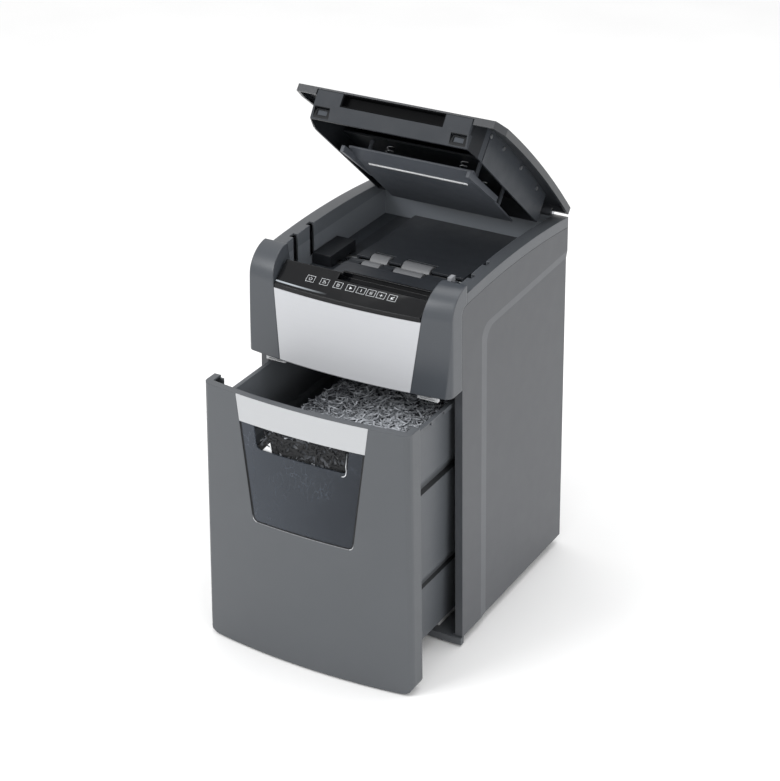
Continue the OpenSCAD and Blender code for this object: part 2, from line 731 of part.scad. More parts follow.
// Cutter shaft with its discs. Three slots along it make the teeth.
disc_pitch = 2*(frame_x - 3)/(disc_count + 0.5);
disc_t = disc_pitch/2 - disc_gap;
module cutter_shaft(at, shift, left_end) {
  color("#8c9095") at_origin() difference() {
    union() {
      rod_x(-frame_x + 1, frame_x - 1, at, cutter_shaft_r);
      rod_x(left_end, layer_a[1], at, cutter_end_r);
      for (i = [0:disc_count - 1]) {
        x = -frame_x + 3 + (i + shift)*disc_pitch;
        rod_x(x + (disc_pitch/2 - disc_t)/2, x + (disc_pitch/2 - disc_t)/2 + disc_t, at, disc_r);
      }
    }
    for (a = [30:120:270]) translate([0, at[0], at[1]]) rotate([a, 0, 0])
      translate([-far/2, -1.5, disc_r - 3]) cube([far, 3, 6]);
  }
}
module cutter_shaft_front() { cutter_shaft(cut_front, 0, feed_layer[0]); }
module cutter_shaft_rear() { cutter_shaft(cut_rear, 0.5, -frame_x - frame_t - 2); }

// Combs that clear the strips from between the discs.
module cutter_combs() {
  bar = 8;
  color("#33373b") at_origin() for (side = [-1, 1]) {
    at = side < 0 ? cut_front : cut_rear;
    shift = side < 0 ? 0.5 : 0;
    near = at[0] + side*(cutter_shaft_r + 1.5);
    out = at[0] + side*(disc_r + 2);
    union() {
      box([-frame_x, frame_x], side < 0 ? [out - bar, out] : [out, out + bar],
          [cutter_z - 8, cutter_z + 2]);
      for (i = [0:disc_count - 1]) {
        x = -frame_x + 3 + (i + shift)*disc_pitch + disc_pitch/4;
        box([x - 1.5, x + 1.5], side < 0 ? [out - 1, near] : [near, out + 1],
            [cutter_z - 6, cutter_z]);
      }
    }
  }
}

module sync_gear_front() {
  color("#a8a39a") at_origin() gear(layer_a, cut_front, sync_m, sync_n, front_phase, cutter_end_r + fit);
}
module sync_gear_rear() {
  color("#a8a39a") at_origin() gear(layer_a, cut_rear, sync_m, sync_n, rear_phase, cutter_end_r + fit);
}
axle_r = 4;
module reduction_gear_second() {
  color("#d8d5cb") at_origin() union() {
    gear(layer_a, second_at, slow_m, second_small_n, second_small_phase, axle_r + fit);
    gear(layer_b, second_at, slow_m, second_large_n, second_large_phase, axle_r + fit);
    difference() {
      rod_x(layer_a[1], layer_b[0], second_at, axle_r + 2);
      rod_x(layer_a[1] - 1, layer_b[0] + 1, second_at, axle_r + fit);
    }
  }
}
module reduction_gear_first() {
  color("#d8d5cb") at_origin() union() {
    gear(layer_b, first_at, slow_m, first_small_n, first_small_phase, axle_r + fit);
    gear(layer_c, first_at, fast_m, first_large_n, first_large_phase, axle_r + fit);
    difference() {
      rod_x(layer_b[1], layer_c[0], first_at, axle_r + 2);
      rod_x(layer_b[1] - 1, layer_c[0] + 1, first_at, axle_r + fit);
    }
  }
}
// Fixed pins that the loose gears turn on.
module gear_axles() {
  color("#b4b7ba") at_origin() {
    for (c = [first_at, second_at]) rod_x(frame_x, guard_at + 2, c, axle_r);
    union() {
      rod_x(feed_layer[0] - 2, -frame_x, idler_at, 3);
      rod_x(feed_layer[0] - 3, feed_layer[0] - 1.5, idler_at, 5);
    }
  }
}
module gear_guard() {
  y = [plate_y[0] + 1, motor_at[0] + 14];
  z = [deck_top, cutter_z + 30];
  color("#787c81") at_origin() difference() {
    union() {
      box([guard_at, guard_at + 2], y, z);
      box([frame_x + frame_t, guard_at + 1], [y[1] - 2, y[1]], z);
      box([frame_x + frame_t, guard_at + 1], [y[0], y[0] + 2], z);
    }
    for (c = [first_at, second_at]) rod_x(guard_at - 1, guard_at + 3, c, axle_r + fit);
  }
}

motor_shaft_r = 4;
module motor_can() {
  x0 = frame_x - motor_l;
  color("#2d3033") at_origin() difference() {
    union() {
      rod_x(x0, frame_x, motor_at, motor_r);
      box([x0 + 20, frame_x - 20], [motor_at[0] - 12, motor_at[0] + 12],
          [deck_top, motor_at[1] - motor_r + 6]);
    }
    rod_x(x0 + wall, frame_x - wall, motor_at, motor_r - wall);
    rod_x(x0 - 1, frame_x + 1, motor_at, motor_shaft_r + fit);
    for (a = [0:45:315]) translate([x0 - 1, motor_at[0], motor_at[1]]) rotate([a, 0, 0])
      translate([0, motor_r - 12, -2]) cube([wall + 2, 7, 4]);
  }
}
module motor_rotor() {
  x0 = frame_x - motor_l;
  r = pitch_r(fast_m, pinion_n);
  color("#b26f3c") at_origin() union() {
    rod_x(x0 - 16, layer_c[1], motor_at, motor_shaft_r);
    rod_x(x0 + 16, frame_x - 16, motor_at, motor_r - 9);
    rod_x(frame_x - 16, frame_x - 8, motor_at, 11);
    gear(layer_c, motor_at, fast_m, pinion_n, pinion_phase, r/4);
  }
}
module motor_fan() {
  x0 = frame_x - motor_l - 14;
  color("#e4e3dc") at_origin() difference() {
    union() {
      rod_x(x0, x0 + 9, motor_at, 9);
      for (a = [0:40:320]) translate([x0, motor_at[0], motor_at[1]]) rotate([a, 0, 0])
        translate([1, 0, 8]) rotate([0, 0, 35]) translate([-0.8, -4, 0]) cube([1.6, 9, 18]);
    }
    rod_x(x0 - 2, x0 + 12, motor_at, motor_shaft_r + fit);
  }
}

// ---------------------------------------------------------------- paper feed

roller_spans = [[-65, -36], [-12, 34]];
module feed_drive_gear() {
  color("#d8d5cb") at_origin() gear(feed_layer, cut_front, feed_m, drive_n, drive_phase, cutter_end_r + fit);
}
module feed_idler_gear() {
  color("#d8d5cb") at_origin() gear(feed_layer, idler_at, feed_m, idler_n, idler_phase, 3 + fit);
}
module feed_shaft(at, phase) {
  color("#a7aaae") at_origin() union() {
    rod_x(feed_layer[0], bed_x + 1, at, feed_shaft_r);
    gear(feed_layer, at, feed_m, feed_n, phase, feed_shaft_r - 1);
  }
}
module feed_shaft_front() { feed_shaft(feed_front, feed_front_phase); }
module feed_shaft_rear() { feed_shaft(feed_rear, feed_rear_phase); }
module feed_rollers(at) {
  color("#9b9d9e") at_origin() for (span = roller_spans) difference() {
    rod_x(span[0], span[1], at, roller_r);
    rod_x(span[0] - 1, span[1] + 1, at, feed_shaft_r + fit);
  }
}
module feed_rollers_front() { feed_rollers(feed_front); }
module feed_rollers_rear() { feed_rollers(feed_rear); }

// ---------------------------------------------------------------- electrics

// Board between the cutter plates, beside the motor. Its parts sit at shares of its size.
board_x = [-frame_x + 11, frame_x - motor_l - 29];
board_y = [rod_places[1][0] + 9, rod_places[2][0] - 9];
module main_board() {
  h = 6;
  z = deck_top + h;
  w = board_x[1] - board_x[0];
  d = board_y[1] - board_y[0];
  color("#2f6a45") at_origin() union() {
    box(board_x, board_y, [z, z + 1.6]);
    for (u = [0.06, 0.94], v = [0.08, 0.92])
      translate([board_x[0] + u*w, board_y[0] + v*d, deck_top]) cylinder(h = h + 0.5, r = 3);
    translate([board_x[0], board_y[0], z + 1]) {
      box([0.12*w, 0.45*w], [0.2*d, 0.6*d], [0, h*4]);
      box([0.55*w, 0.7*w], [0.2*d, 0.42*d], [0, h*2.6]);
      for (v = [0.3, 0.6]) translate([0.85*w, v*d, 0]) cylinder(h = h*3.6, r = h);
    }
  }
}
module mains_inlet() {
  color("#1d1f21") at_origin() translate([inlet_at[0], cab_d, inlet_at[1]]) union() {
    difference() {
      union() {
        box([-24, 24], [0, 2.5], [-13, 13]);
        box([-14, 14], [-24, 1], [-10, 10]);
      }
      box([-12, 12], [-18, 3], [-8, 8]);
    }
    for (p = [[-7, -2], [0, 2], [7, -2]]) box([p[0] - 1, p[0] + 1], [-19, -6], [p[1] - 2, p[1] + 2]);
  }
}
module switch_housing() {
  color("#1d1f21") at_origin() translate([switch_at[0], cab_d, switch_at[1]]) difference() {
    union() {
      box([-13, 13], [0, 2.5], [-17, 17]);
      box([-11, 11], [-20, 1], [-15, 15]);
    }
    box([-8, 8], [-17, 3], [-12, 12]);
    rod_x(-9.5, 9.5, [-8, 0], 1.5 + fit);
  }
}
module power_rocker() {
  color("#8f2a22") at_origin() translate([switch_at[0], cab_d, switch_at[1]]) union() {
    along_x(-7.6, 7.6) polygon([[-14, -4], [-8, -8.5], [2, -10], [4.4, -9.4], [0.8, 0],
      [0.8, 10], [-2.5, 10.2], [-8, 8], [-14, 4]]);
    rod_x(-9.2, 9.2, [-8, 0], 1.5);
  }
}
safety_x = 15 - cab_w/2;
module safety_switch() {
  color("#222427") at_origin() difference() {
    box([safety_x - 8, safety_x + 8], [head_y + 2, head_y + 22], [deck_top, deck_top + 8]);
    translate([safety_x, head_y + 1, deck_top + 4]) rotate([-90, 0, 0]) cylinder(h = 13, r = 1.5 + fit);
  }
}
module safety_plunger() {
  color("#c9302a") at_origin() translate([safety_x, flange_back + 0.5, deck_top + 4]) rotate([-90, 0, 0])
    cylinder(h = head_y + 10 - flange_back, r = 1.5);
}

// ---------------------------------------------------------------- lid

module lid_pose() {
  translate([0, hinge[0], hinge[1]]) rotate([-lid_angle, 0, 0])
    translate([0, -hinge[0], -hinge[1]]) children();
}
module lid_plan(inset) {
  x = side_x(rim_crown) - inset;
  front = 6.6;
  polygon([[-x + front, lid_y + inset], [x - front, lid_y + inset], [x, lid_y + lid_corner + inset/2],
           [x, lid_rear_top[0] - inset], [-x, lid_rear_top[0] - inset],
           [-x, lid_y + lid_corner + inset/2]]);
}
module lid_shell() {
  lap = knuckle_in + knuckle_l[0];
  color("#4a4e53") at_origin() lid_pose() difference() {
    union() {
      difference() {
        intersection() {
          linear_extrude(far*2) lid_plan(0);
          along_x(-far, far) arch_band(0, far, -1 - lid_t, -1);
        }
        intersection() {
          linear_extrude(far*2) lid_plan(wall + 1);
          along_x(-far, far) arch_band(0, far, -1 - lid_t + lid_skin, 1);
        }
        // the front of the frame shows between the corners
        box([-skirt_front - 2, skirt_front + 2], [0, lid_y + wall + 2], [0, skirt_roof(lid_y + wall + 2)]);
        both_sides() rod_x(knuckle_in - 1.5, lap + knuckle_l[1] + knuckle_l[2] + 1.5, hinge, knuckle_r + 1.2);
      }
      both_sides() {
        rod_x(lap + clear, lap + knuckle_l[1] - clear, hinge, knuckle_r - 0.5);
        box([lap + clear, lap + knuckle_l[1] - clear], [hinge[0] - 14, hinge[0] - 1],
            [hinge[1] + 3, arch_z(cab_d) + lid_t - 1]);
      }
    }
    both_sides() rod_x(lap - 1, lap + knuckle_l[1] + 1, hinge, pin_r + fit);
    for (y = lid_screw_rows) both_sides()
      rod_x(skirt_x - 6, skirt_x + 0.1, [y, arch_z(y) + 1], 1.5 + fit);
  }
}
lid_screw_rows = [for (part = [0.18, 0.33, 0.55, 0.77]) part*cab_d];

// Skirt that closes over the paper: front wall, slanted corners, sides, rear and cross plate.
function skirt_roof(y) = arch_z(y) + 1 + lid_t - lid_skin;
module skirt_side() {
  back = tray_back - 24;
  intersection() {
    polygon([[lid_y, rim_crown + 3], [lid_y + 1, rim_crown - 16], [frame_y, skirt_bottom + 2],
             [skirt_turn + 12, skirt_bottom - 1], [back, skirt_bottom - 1],
             [back, rim_crown + lid_t], [lid_y, rim_crown + lid_t]]);
    under_arch(lid_skin - lid_t - 1);
  }
}
module skirt_plan(inset) {
  x = [skirt_front - inset*0.4, skirt_x - inset];
  y = [lid_y - 1, skirt_turn + inset/2, tray_back];
  polygon([[-x[0], y[0]], [x[0], y[0]], [x[1], y[1]], [x[1], y[2]], [-x[1], y[2]], [-x[1], y[1]]]);
}
module skirt_inside() {
  y = [lid_y + wall, lid_y + wall + 1, frame_y + wall, tray_back - 24 - wall];
  polygon([[y[0], far*2], [y[0], rim_crown + 3], [y[1], rim_crown - 16], [y[2], skirt_bottom + 2],
           [y[2], 0], [y[3], 0], [y[3], far*2]]);
}
pad_x = skirt_front - 14;
module lid_frame() {
  pad_z = skirt_bottom + 12;
  color("#4f5459") at_origin() lid_pose() difference() {
    union() {
      difference() {
        intersection() {
          along_x(-skirt_x, skirt_x) skirt_side();
          linear_extrude(far*2) skirt_plan(0);
        }
        intersection() {
          along_x(-skirt_x, skirt_x) skirt_inside();
          linear_extrude(far*2) skirt_plan(wall);
        }
      }
      box([-skirt_x + 1, skirt_x - 1], [press_y + 20, tray_back - 26], [cross_z, cross_z + wall]);
      // sunk pads in the front wall
      both_sides() translate([pad_x, 0, pad_z])
        box([-10.5, 10.5], [frame_y - 2, frame_y + wall - 0.5], [-5, 6]);
    }
    both_sides() translate([pad_x, 0, pad_z]) {
      box([-12, 12], [0, frame_y - 1], [-6.5, 7]);
      box([-8, 8], [0, frame_y + 0.5], [-3.5, 4]);
    }
    box([-grip_x - clear, grip_x + clear], [0, lid_y + 14], [rim_crown - 16, far*2]);
    for (p = guide_pins) translate([p[0], p[1], cross_z - 1]) cylinder(h = wall + 2, r = 3 + clear);
    // groove across each side behind the slanted corner
    both_sides() box([skirt_x - 1.2, skirt_x + 1], [skirt_turn, skirt_turn + 3], [0, rim_crown - 2]);
    for (y = lid_screw_rows) both_sides()
      rod_x(skirt_x - wall - 1, skirt_x + 1, [y, arch_z(y) + 1], 1.5 + fit);
  }
}
// Black pocket in the front of the lid.
module lid_grip() {
  y = [lid_y + 1, lid_y + 13];
  z = [rim_crown - 15.5, skirt_roof(lid_y) - 0.3];
  color("#121315") at_origin() lid_pose() difference() {
    box([-grip_x, grip_x], y, z);
    box([-grip_x + 1.5, grip_x - 1.5], [y[0] - 1, y[1] - 1.5], [z[0] + 1.5, z[1] - 0.8]);
  }
}
module lid_hinge_pins() {
  length = knuckle_l[0] + knuckle_l[1] + knuckle_l[2];
  color("#a7aaae") at_origin() both_sides() union() {
    rod_x(knuckle_in, knuckle_in + length, hinge, pin_r);
    rod_x(knuckle_in + length, knuckle_in + length + 1.5, hinge, pin_r + 1.5);
  }
}
module lid_screws() {
  color("#9b9ea2") at_origin() lid_pose() both_sides() for (y = lid_screw_rows) union() {
    rod_x(skirt_x - wall - 4, skirt_x, [y, arch_z(y) + 1], 1.5);
    rod_x(skirt_x, skirt_x + 1.2, [y, arch_z(y) + 1], 3);
  }
}

guide_x = press_x - 13;
guide_pins = [for (x = [-guide_x, guide_x], y = [press_y + 38, press_y + press_d - 37]) [x, y]];
module pressure_plate() {
  t = 2.5;
  rise = 10;           // of the front edge
  arm = [press_y - 15, press_y + 96];
  back = press_y + press_d;
  color("#3f444a") at_origin() lid_pose() union() {
    along_x(-press_x, press_x) polygon([
      [press_y, press_z + rise], [press_bend, press_z + 2], [back, press_z], [back, press_z + t],
      [press_bend, press_z + 2 + t], [press_y, press_z + rise + t]]);
    both_sides() along_x(press_x - t, press_x + 3) polygon([
      [arm[0], press_z - 3.5], [arm[1], press_z + 1.5], [arm[1], press_z + 10], [arm[0], press_z + 6]]);
    for (p = guide_pins) translate([p[0], p[1], press_z + 2]) cylinder(h = cross_z - press_z + 3, r = 3);
  }
}
module plate_strip() {
  half = 80;
  y = [press_bend + 3, press_bend + 8];
  color("#eceded") at_origin() lid_pose() box([-half, half], y, [press_z + 0.9, press_z + 1.88]);
}
spring_x = 60;
spring_places = [for (x = [-spring_x, spring_x], y = [press_y + 46, press_y + press_d - 47]) [x, y]];
module plate_springs() {
  turns = 5;
  height = cross_z - press_z - 5;
  color("#c9cbcd") at_origin() lid_pose() for (p = spring_places)
    translate([p[0], p[1], cross_z - height])
      linear_extrude(height, twist = -360*turns, slices = 9*turns, $fn = 5) translate([5, 0]) circle(r = 1);
}

// ---------------------------------------------------------------- drawer

module drawer_pose() { translate([0, -drawer_pull, 0]) children(); }

module drawer_outline(inset) {
  r = 18;
  intersection() {
    front_outline(drawer_gap + inset, drawer_top - inset, inset);
    union() {
      translate([-far, drawer_gap + r]) square([2*far, far*2]);
      both_corners(r, inset);
    }
  }
}
module both_corners(r, inset) {
  x = side_x(drawer_gap) - r;
  translate([-x, drawer_gap]) square([2*x, r + 1]);
  for (s = [-1, 1]) translate([s*x, drawer_gap + r]) circle(r = r - inset);
}
module drawer_solid(inset, back) {
  intersection() {
    along_y(-far/2, back) drawer_outline(inset);
    bow_solid(0, far*2, inset);
  }
}
window_x0 = plate_x0 - 24;      // half width at the lower edge of the window
window_flare = (plate_x0 - window_x0)/(band_z + window_z);
function window_half(z) = window_x0 + (z - window_low)*window_flare;
// Sides that flare upwards. The bottom corners have the radius r.
module window_outline(z0, z1, grow, r) {
  lie = sqrt(1 + window_flare*window_flare);
  c = [window_half(z0) + grow + window_flare*r - r*lie, z0 - grow + r];
  mirrored(concat(arc(c, r, -90, -atan(window_flare)), [[window_half(z1) + grow, z1 + grow]]));
}
// The same sides without round corners.
module band_outline(z0, z1, grow) {
  mirrored([[window_half(z0) + grow, z0], [window_half(z1) + grow, z1]]);
}
window_low = drawer_top - band_z - window_z;
window_high = drawer_top - band_z;
flange_back = -bow_y + 19 + flange_d;
module drawer_front() {
  lip = 16;
  color("#6b6f74") at_origin() drawer_pose() difference() {
    union() {
      difference() {
        drawer_solid(0, flange_back);
        drawer_solid(wall, flange_back + 1);
      }
      intersection() {
        drawer_solid(0, flange_back);
        both_sides() on_side() box([-lip, -1], [flange_back - wall, flange_back], [0, far*2]);
      }
    }
    corner_cut(drawer_gap, drawer_top);
    intersection() {
      box([-side_x(0) + lip + 2, side_x(0) - lip - 2], [-far, far], [drawer_top - wall - 1, far*2]);
      bow_solid(0, far*2, 12);
    }
    along_y(-far, 0) window_outline(window_low, window_high, 0, 9);
    difference() {
      along_y(-far, 0) band_outline(window_high, drawer_top + 1, 0);
      bow_solid(0, far*2, 1.4);
    }
  }
}
module drawer_band() {
  color("#d6d8da") at_origin() drawer_pose() intersection() {
    difference() {
      bow_solid(window_high, drawer_top - 0.4, 0);
      bow_solid(window_high - 1, drawer_top, 1.3);
    }
    along_y(-far, 0) band_outline(window_high - 5, drawer_top, -0.2);
  }
}
module drawer_window() {
  notch_z = window_high - 37;
  notch_x = 65;
  r = 9;
  color("#3c4046") at_origin() drawer_pose() difference() {
    intersection() {
      difference() {
        bow_solid(window_low, window_high - 0.2, 1.4);
        bow_solid(window_low - 1, window_high, wall + 0.4);
      }
      along_y(-far, 0) window_outline(window_low, window_high, -1, 8);
    }
    // notch for the hand
    along_y(-far, 0) mirrored(concat(arc([notch_x, notch_z + r], r, -90, 0),
      [[notch_x + r + 3, window_high + 1]]));
  }
}

// Bin: an open tub with two stepped grooves along each side.
bin_low = skirt_z + 13;
bin_front = wall + 1;
bin_back = -bow_y + bin_front + bin_d;
module bin_half(inset) {
  z1 = bin_low + (bin_rim - bin_low)*0.26;
  z2 = bin_low + (bin_rim - bin_low)*0.70;
  polygon([[0, bin_low + inset], [bin_x - 15 - inset, bin_low + inset], [bin_x - 11 - inset, bin_low + 6],
           [bin_x - 9 - inset, z1], [bin_x - 13 - inset, z1 + 3], [bin_x - 6 - inset, z1 + 20],
           [bin_x - 5 - inset, z2], [bin_x - 11 - inset, z2 + 3], [bin_x - 4 - inset, z2 + 22],
           [bin_x - 4 - inset, bin_rim + inset], [0, bin_rim + inset]]);
}
module bin_solid(inset) {
  intersection() {
    both_sides() along_y(-far/2, bin_back - inset) bin_half(inset);
    bow_solid(0, far*2, bin_front + inset);
  }
}
module bin() {
  lip = [bin_rim - 7, bin_rim];
  color("#5b6065") at_origin() drawer_pose() difference() {
    union() {
      bin_solid(0);
      both_sides() intersection() {
        box([bin_x - 5, bin_x], [-far/2, bin_back], lip);
        bow_solid(0, far*2, 20);
      }
    }
    bin_solid(bin_t);
    along_y(-far, 0) window_outline(window_low - 4, window_high + 8, -8, 4);
    both_sides() for (y = [[35, 60], [69, 98]]) box([bin_x - 3, bin_x + 1], y, [bin_rim - 8, bin_rim - 2]);
  }
}
module bin_rails() {
  color("#b9bbbd") at_origin() both_sides()
    box([bin_x - 30, bin_x - 20], [12, cab_d - 20], [skirt_z, bin_low - clear]);
}

// Crust of the heap of paper strips: high at the right front, falling steeply to the left.
// Share of the half width, depth below the rim at the front and at the back
heap_edge = [[1, 12, 35], [-0.42, 16, 42], [-1, 126, 150]];
heap_t = 12;
heap_side = 21;       // from the rim of the bin in to the heap
module heap_corner(x, y, z, t) { translate([x, y, z - t]) cylinder(h = t, r = 2, $fn = 16); }
module heap_strip(a, b, y) {
  x = bin_x - heap_side;
  hull() for (e = [a, b]) {
    heap_corner(e[0]*x, y[0], bin_rim - e[1], heap_t);
    heap_corner(e[0]*x, y[1], bin_rim - e[2], heap_t);
  }
}
module shredded_paper() {
  y = [bin_front + bin_t + 13.5 - bow_y, bin_back - 20];
  low = bin_rim - 184;
  front_x = window_x0 - 4;
  color("#cfd1d3") at_origin() drawer_pose() union() {
    heap_strip(heap_edge[0], heap_edge[1], y);
    heap_strip(heap_edge[1], heap_edge[2], y);
    // what shows behind the window
    hull() for (side = [[1, 24], [-1, 62]], v = [y[0], y[0] + heap_t])
      heap_corner(side[0]*front_x, v, bin_rim - side[1], bin_rim - side[1] - low);
  }
}

feet();
base_tray();
side_panel_left();
side_panel_right();
back_panel();
top_housing();
front_fascia();
fascia_plate();
control_panel();
panel_board();
latch_clips();
paper_tray();
feed_gear_cover();
lid_catch();
head_deck();
manual_chute();
cutter_plate_left();
cutter_plate_right();
tie_rods();
shaft_bushes();
cutter_shaft_front();
cutter_shaft_rear();
cutter_combs();
sync_gear_front();
sync_gear_rear();
reduction_gear_first();
reduction_gear_second();
gear_axles();
gear_guard();
motor_can();
motor_rotor();
motor_fan();
feed_drive_gear();
feed_idler_gear();
feed_shaft_front();
feed_shaft_rear();
feed_rollers_front();
feed_rollers_rear();
main_board();
mains_inlet();
switch_housing();
power_rocker();
safety_switch();
safety_plunger();
lid_shell();
lid_frame();
lid_grip();
lid_hinge_pins();
lid_screws();
pressure_plate();
plate_strip();
plate_springs();
drawer_front();
drawer_band();
drawer_window();
bin();
bin_rails();
shredded_paper();
back_screws();
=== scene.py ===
import json
import math

import bmesh
import bpy
import numpy as np
from mathutils import Matrix, Vector
from mathutils.bvhtree import BVHTree


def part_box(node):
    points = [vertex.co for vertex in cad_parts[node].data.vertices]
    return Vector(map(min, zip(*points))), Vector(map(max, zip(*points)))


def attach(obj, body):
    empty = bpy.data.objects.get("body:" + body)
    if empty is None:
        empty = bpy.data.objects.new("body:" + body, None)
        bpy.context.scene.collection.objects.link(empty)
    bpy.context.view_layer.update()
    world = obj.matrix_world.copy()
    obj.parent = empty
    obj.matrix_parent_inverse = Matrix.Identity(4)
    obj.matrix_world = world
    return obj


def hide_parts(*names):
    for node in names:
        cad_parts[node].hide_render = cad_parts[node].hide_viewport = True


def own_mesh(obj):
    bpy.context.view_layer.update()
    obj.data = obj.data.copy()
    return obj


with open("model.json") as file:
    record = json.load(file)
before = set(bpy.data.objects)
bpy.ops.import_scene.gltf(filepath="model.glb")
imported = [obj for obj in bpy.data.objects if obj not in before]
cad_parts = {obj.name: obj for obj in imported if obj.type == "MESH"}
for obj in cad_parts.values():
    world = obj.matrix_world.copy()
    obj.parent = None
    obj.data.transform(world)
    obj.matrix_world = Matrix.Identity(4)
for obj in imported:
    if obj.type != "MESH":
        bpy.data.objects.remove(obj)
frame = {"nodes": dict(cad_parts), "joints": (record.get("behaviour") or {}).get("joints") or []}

# Lengths are in metres, unless a name or comment says mm. The cabinet's own plan has y 0 at the front edge
# of its sides. The row's y is that y minus CABINET_Y.
MM = 0.001
CABINET_Y = 0.0905
LID_OPEN = math.radians(40.5)

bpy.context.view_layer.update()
scene = bpy.context.scene
nodes = frame["nodes"]
joints = {j["name"]: j for j in frame["joints"]}
hinge = Vector(joints["lid_hinge"]["pos_m"])


# ------------------------------------------------------------------ node helpers
def new_material(name):
    """Material, its node tree and its Principled node."""
    m = bpy.data.materials.new(name)
    m.use_nodes = True
    nt = m.node_tree
    return m, nt, nt.nodes["Principled BSDF"]


def link(nt, a, b):
    nt.links.new(a, b)


def coords(nt, scale=(1, 1, 1)):
    tc = nt.nodes.new("ShaderNodeTexCoord")
    mp = nt.nodes.new("ShaderNodeMapping")
    mp.inputs["Scale"].default_value = scale
    link(nt, tc.outputs["Object"], mp.inputs["Vector"])
    return mp.outputs["Vector"]


def closed_lid(nt):
    """Row coordinates that a point of the open lid has when the lid is closed."""
    tc = nt.nodes.new("ShaderNodeTexCoord")
    mp = nt.nodes.new("ShaderNodeMapping")
    turn = Matrix.Rotation(LID_OPEN, 3, "X")
    mp.inputs["Rotation"].default_value = (LID_OPEN, 0, 0)
    mp.inputs["Location"].default_value = hinge - turn @ hinge
    link(nt, tc.outputs["Object"], mp.inputs["Vector"])
    return mp.outputs["Vector"]


def axis_of(nt, vector, axis):
    sep = nt.nodes.new("ShaderNodeSeparateXYZ")
    link(nt, vector, sep.inputs["Vector"])
    return sep.outputs[axis]


def maths(nt, operation, *values):
    """Math node. A value is a socket or a number."""
    n = nt.nodes.new("ShaderNodeMath")
    n.operation = operation
    for socket, v in zip(n.inputs, values):
        if isinstance(v, (int, float)):
            socket.default_value = v
        else:
            link(nt, v, socket)
    return n.outputs[0]


def noise(nt, vector, scale, detail=3.0, rough=0.5):
    n = nt.nodes.new("ShaderNodeTexNoise")
    n.inputs["Scale"].default_value = scale
    n.inputs["Detail"].default_value = detail
    n.inputs["Roughness"].default_value = rough
    link(nt, vector, n.inputs["Vector"])
    return n.outputs["Fac"]


def ramp(nt, fac, stops):
    r = nt.nodes.new("ShaderNodeValToRGB")
    e = r.color_ramp.elements
    while len(e) < len(stops):
        e.new(0.5)
    for el, (pos, col) in zip(e, stops):
        el.position = pos
        el.color = (*col, 1)
    link(nt, fac, r.inputs["Fac"])
    return r.outputs["Color"]


def remap(nt, fac, to_lo, to_hi, from_lo=0.3, from_hi=0.7):
    """Clamped linear map. Its default range is that of a noise node."""
    r = nt.nodes.new("ShaderNodeMapRange")
    r.inputs["From Min"].default_value = from_lo
    r.inputs["From Max"].default_value = from_hi
    r.inputs["To Min"].default_value = to_lo
    r.inputs["To Max"].default_value = to_hi
    link(nt, fac, r.inputs["Value"])
    return r.outputs["Result"]


def bump(nt, height, strength, distance, before=None):
    b = nt.nodes.new("ShaderNodeBump")
    b.inputs["Strength"].default_value = strength
    b.inputs["Distance"].default_value = distance
    link(nt, height, b.inputs["Height"])
    if before is not None:
        link(nt, before, b.inputs["Normal"])
    return b.outputs["Normal"]


def times(nt, colour, k, mask=None):
    """Colour times the three factors k, everywhere or where the mask is 1."""
    mix = nt.nodes.new("ShaderNodeMix")
    mix.data_type = "RGBA"
    mix.blend_type = "MULTIPLY"
    mix.inputs[0].default_value = 1.0
    if mask is not None:
        link(nt, mask, mix.inputs[0])
    link(nt, colour, mix.inputs[6])
    mix.inputs[7].default_value = (*k, 1)
    return mix.outputs[2]


def inside(nt, vector, lo, hi):
    """1 inside a box, 0 outside. X is taken on both sides of the middle."""
    out = None
    for axis, a, b in zip("XYZ", lo, hi):
        v = axis_of(nt, vector, axis)
        if axis == "X":
            v = maths(nt, "ABSOLUTE", v)
        v = maths(nt, "COMPARE", v, (a + b) / 2, (b - a) / 2)
        out = v if out is None else maths(nt, "MULTIPLY", out, v)
    return out


def normal_x(nt):
    geo = nt.nodes.new("ShaderNodeNewGeometry")
    return axis_of(nt, geo.outputs["True Normal"], "X")


def slanted(nt):
    """1 on faces that lean 4 to 18 degrees away from the sides."""
    lean_x, spread = 0.975, 0.022
    return maths(nt, "COMPARE", maths(nt, "ABSOLUTE", normal_x(nt)), lean_x, spread)


def inward(nt, vector):
    """1 on faces turned towards the middle: there the normal's x and the place's x have unlike signs."""
    clear_of_middle = -0.02
    turned = maths(nt, "MULTIPLY", normal_x(nt), axis_of(nt, vector, "X"))
    return maths(nt, "LESS_THAN", turned, clear_of_middle)


def tint(col, k):
    return tuple(min(1.0, c * k) for c in col)


def zone(x, y, z, k):
    """Box for a factor k on the colour, from ranges in mm of the cabinet's own plan."""
    lo = (x[0] / 1000, y[0] / 1000 - CABINET_Y, z[0] / 1000)
    hi = (x[1] / 1000, y[1] / 1000 - CABINET_Y, z[1] / 1000)
    return lo, hi, k


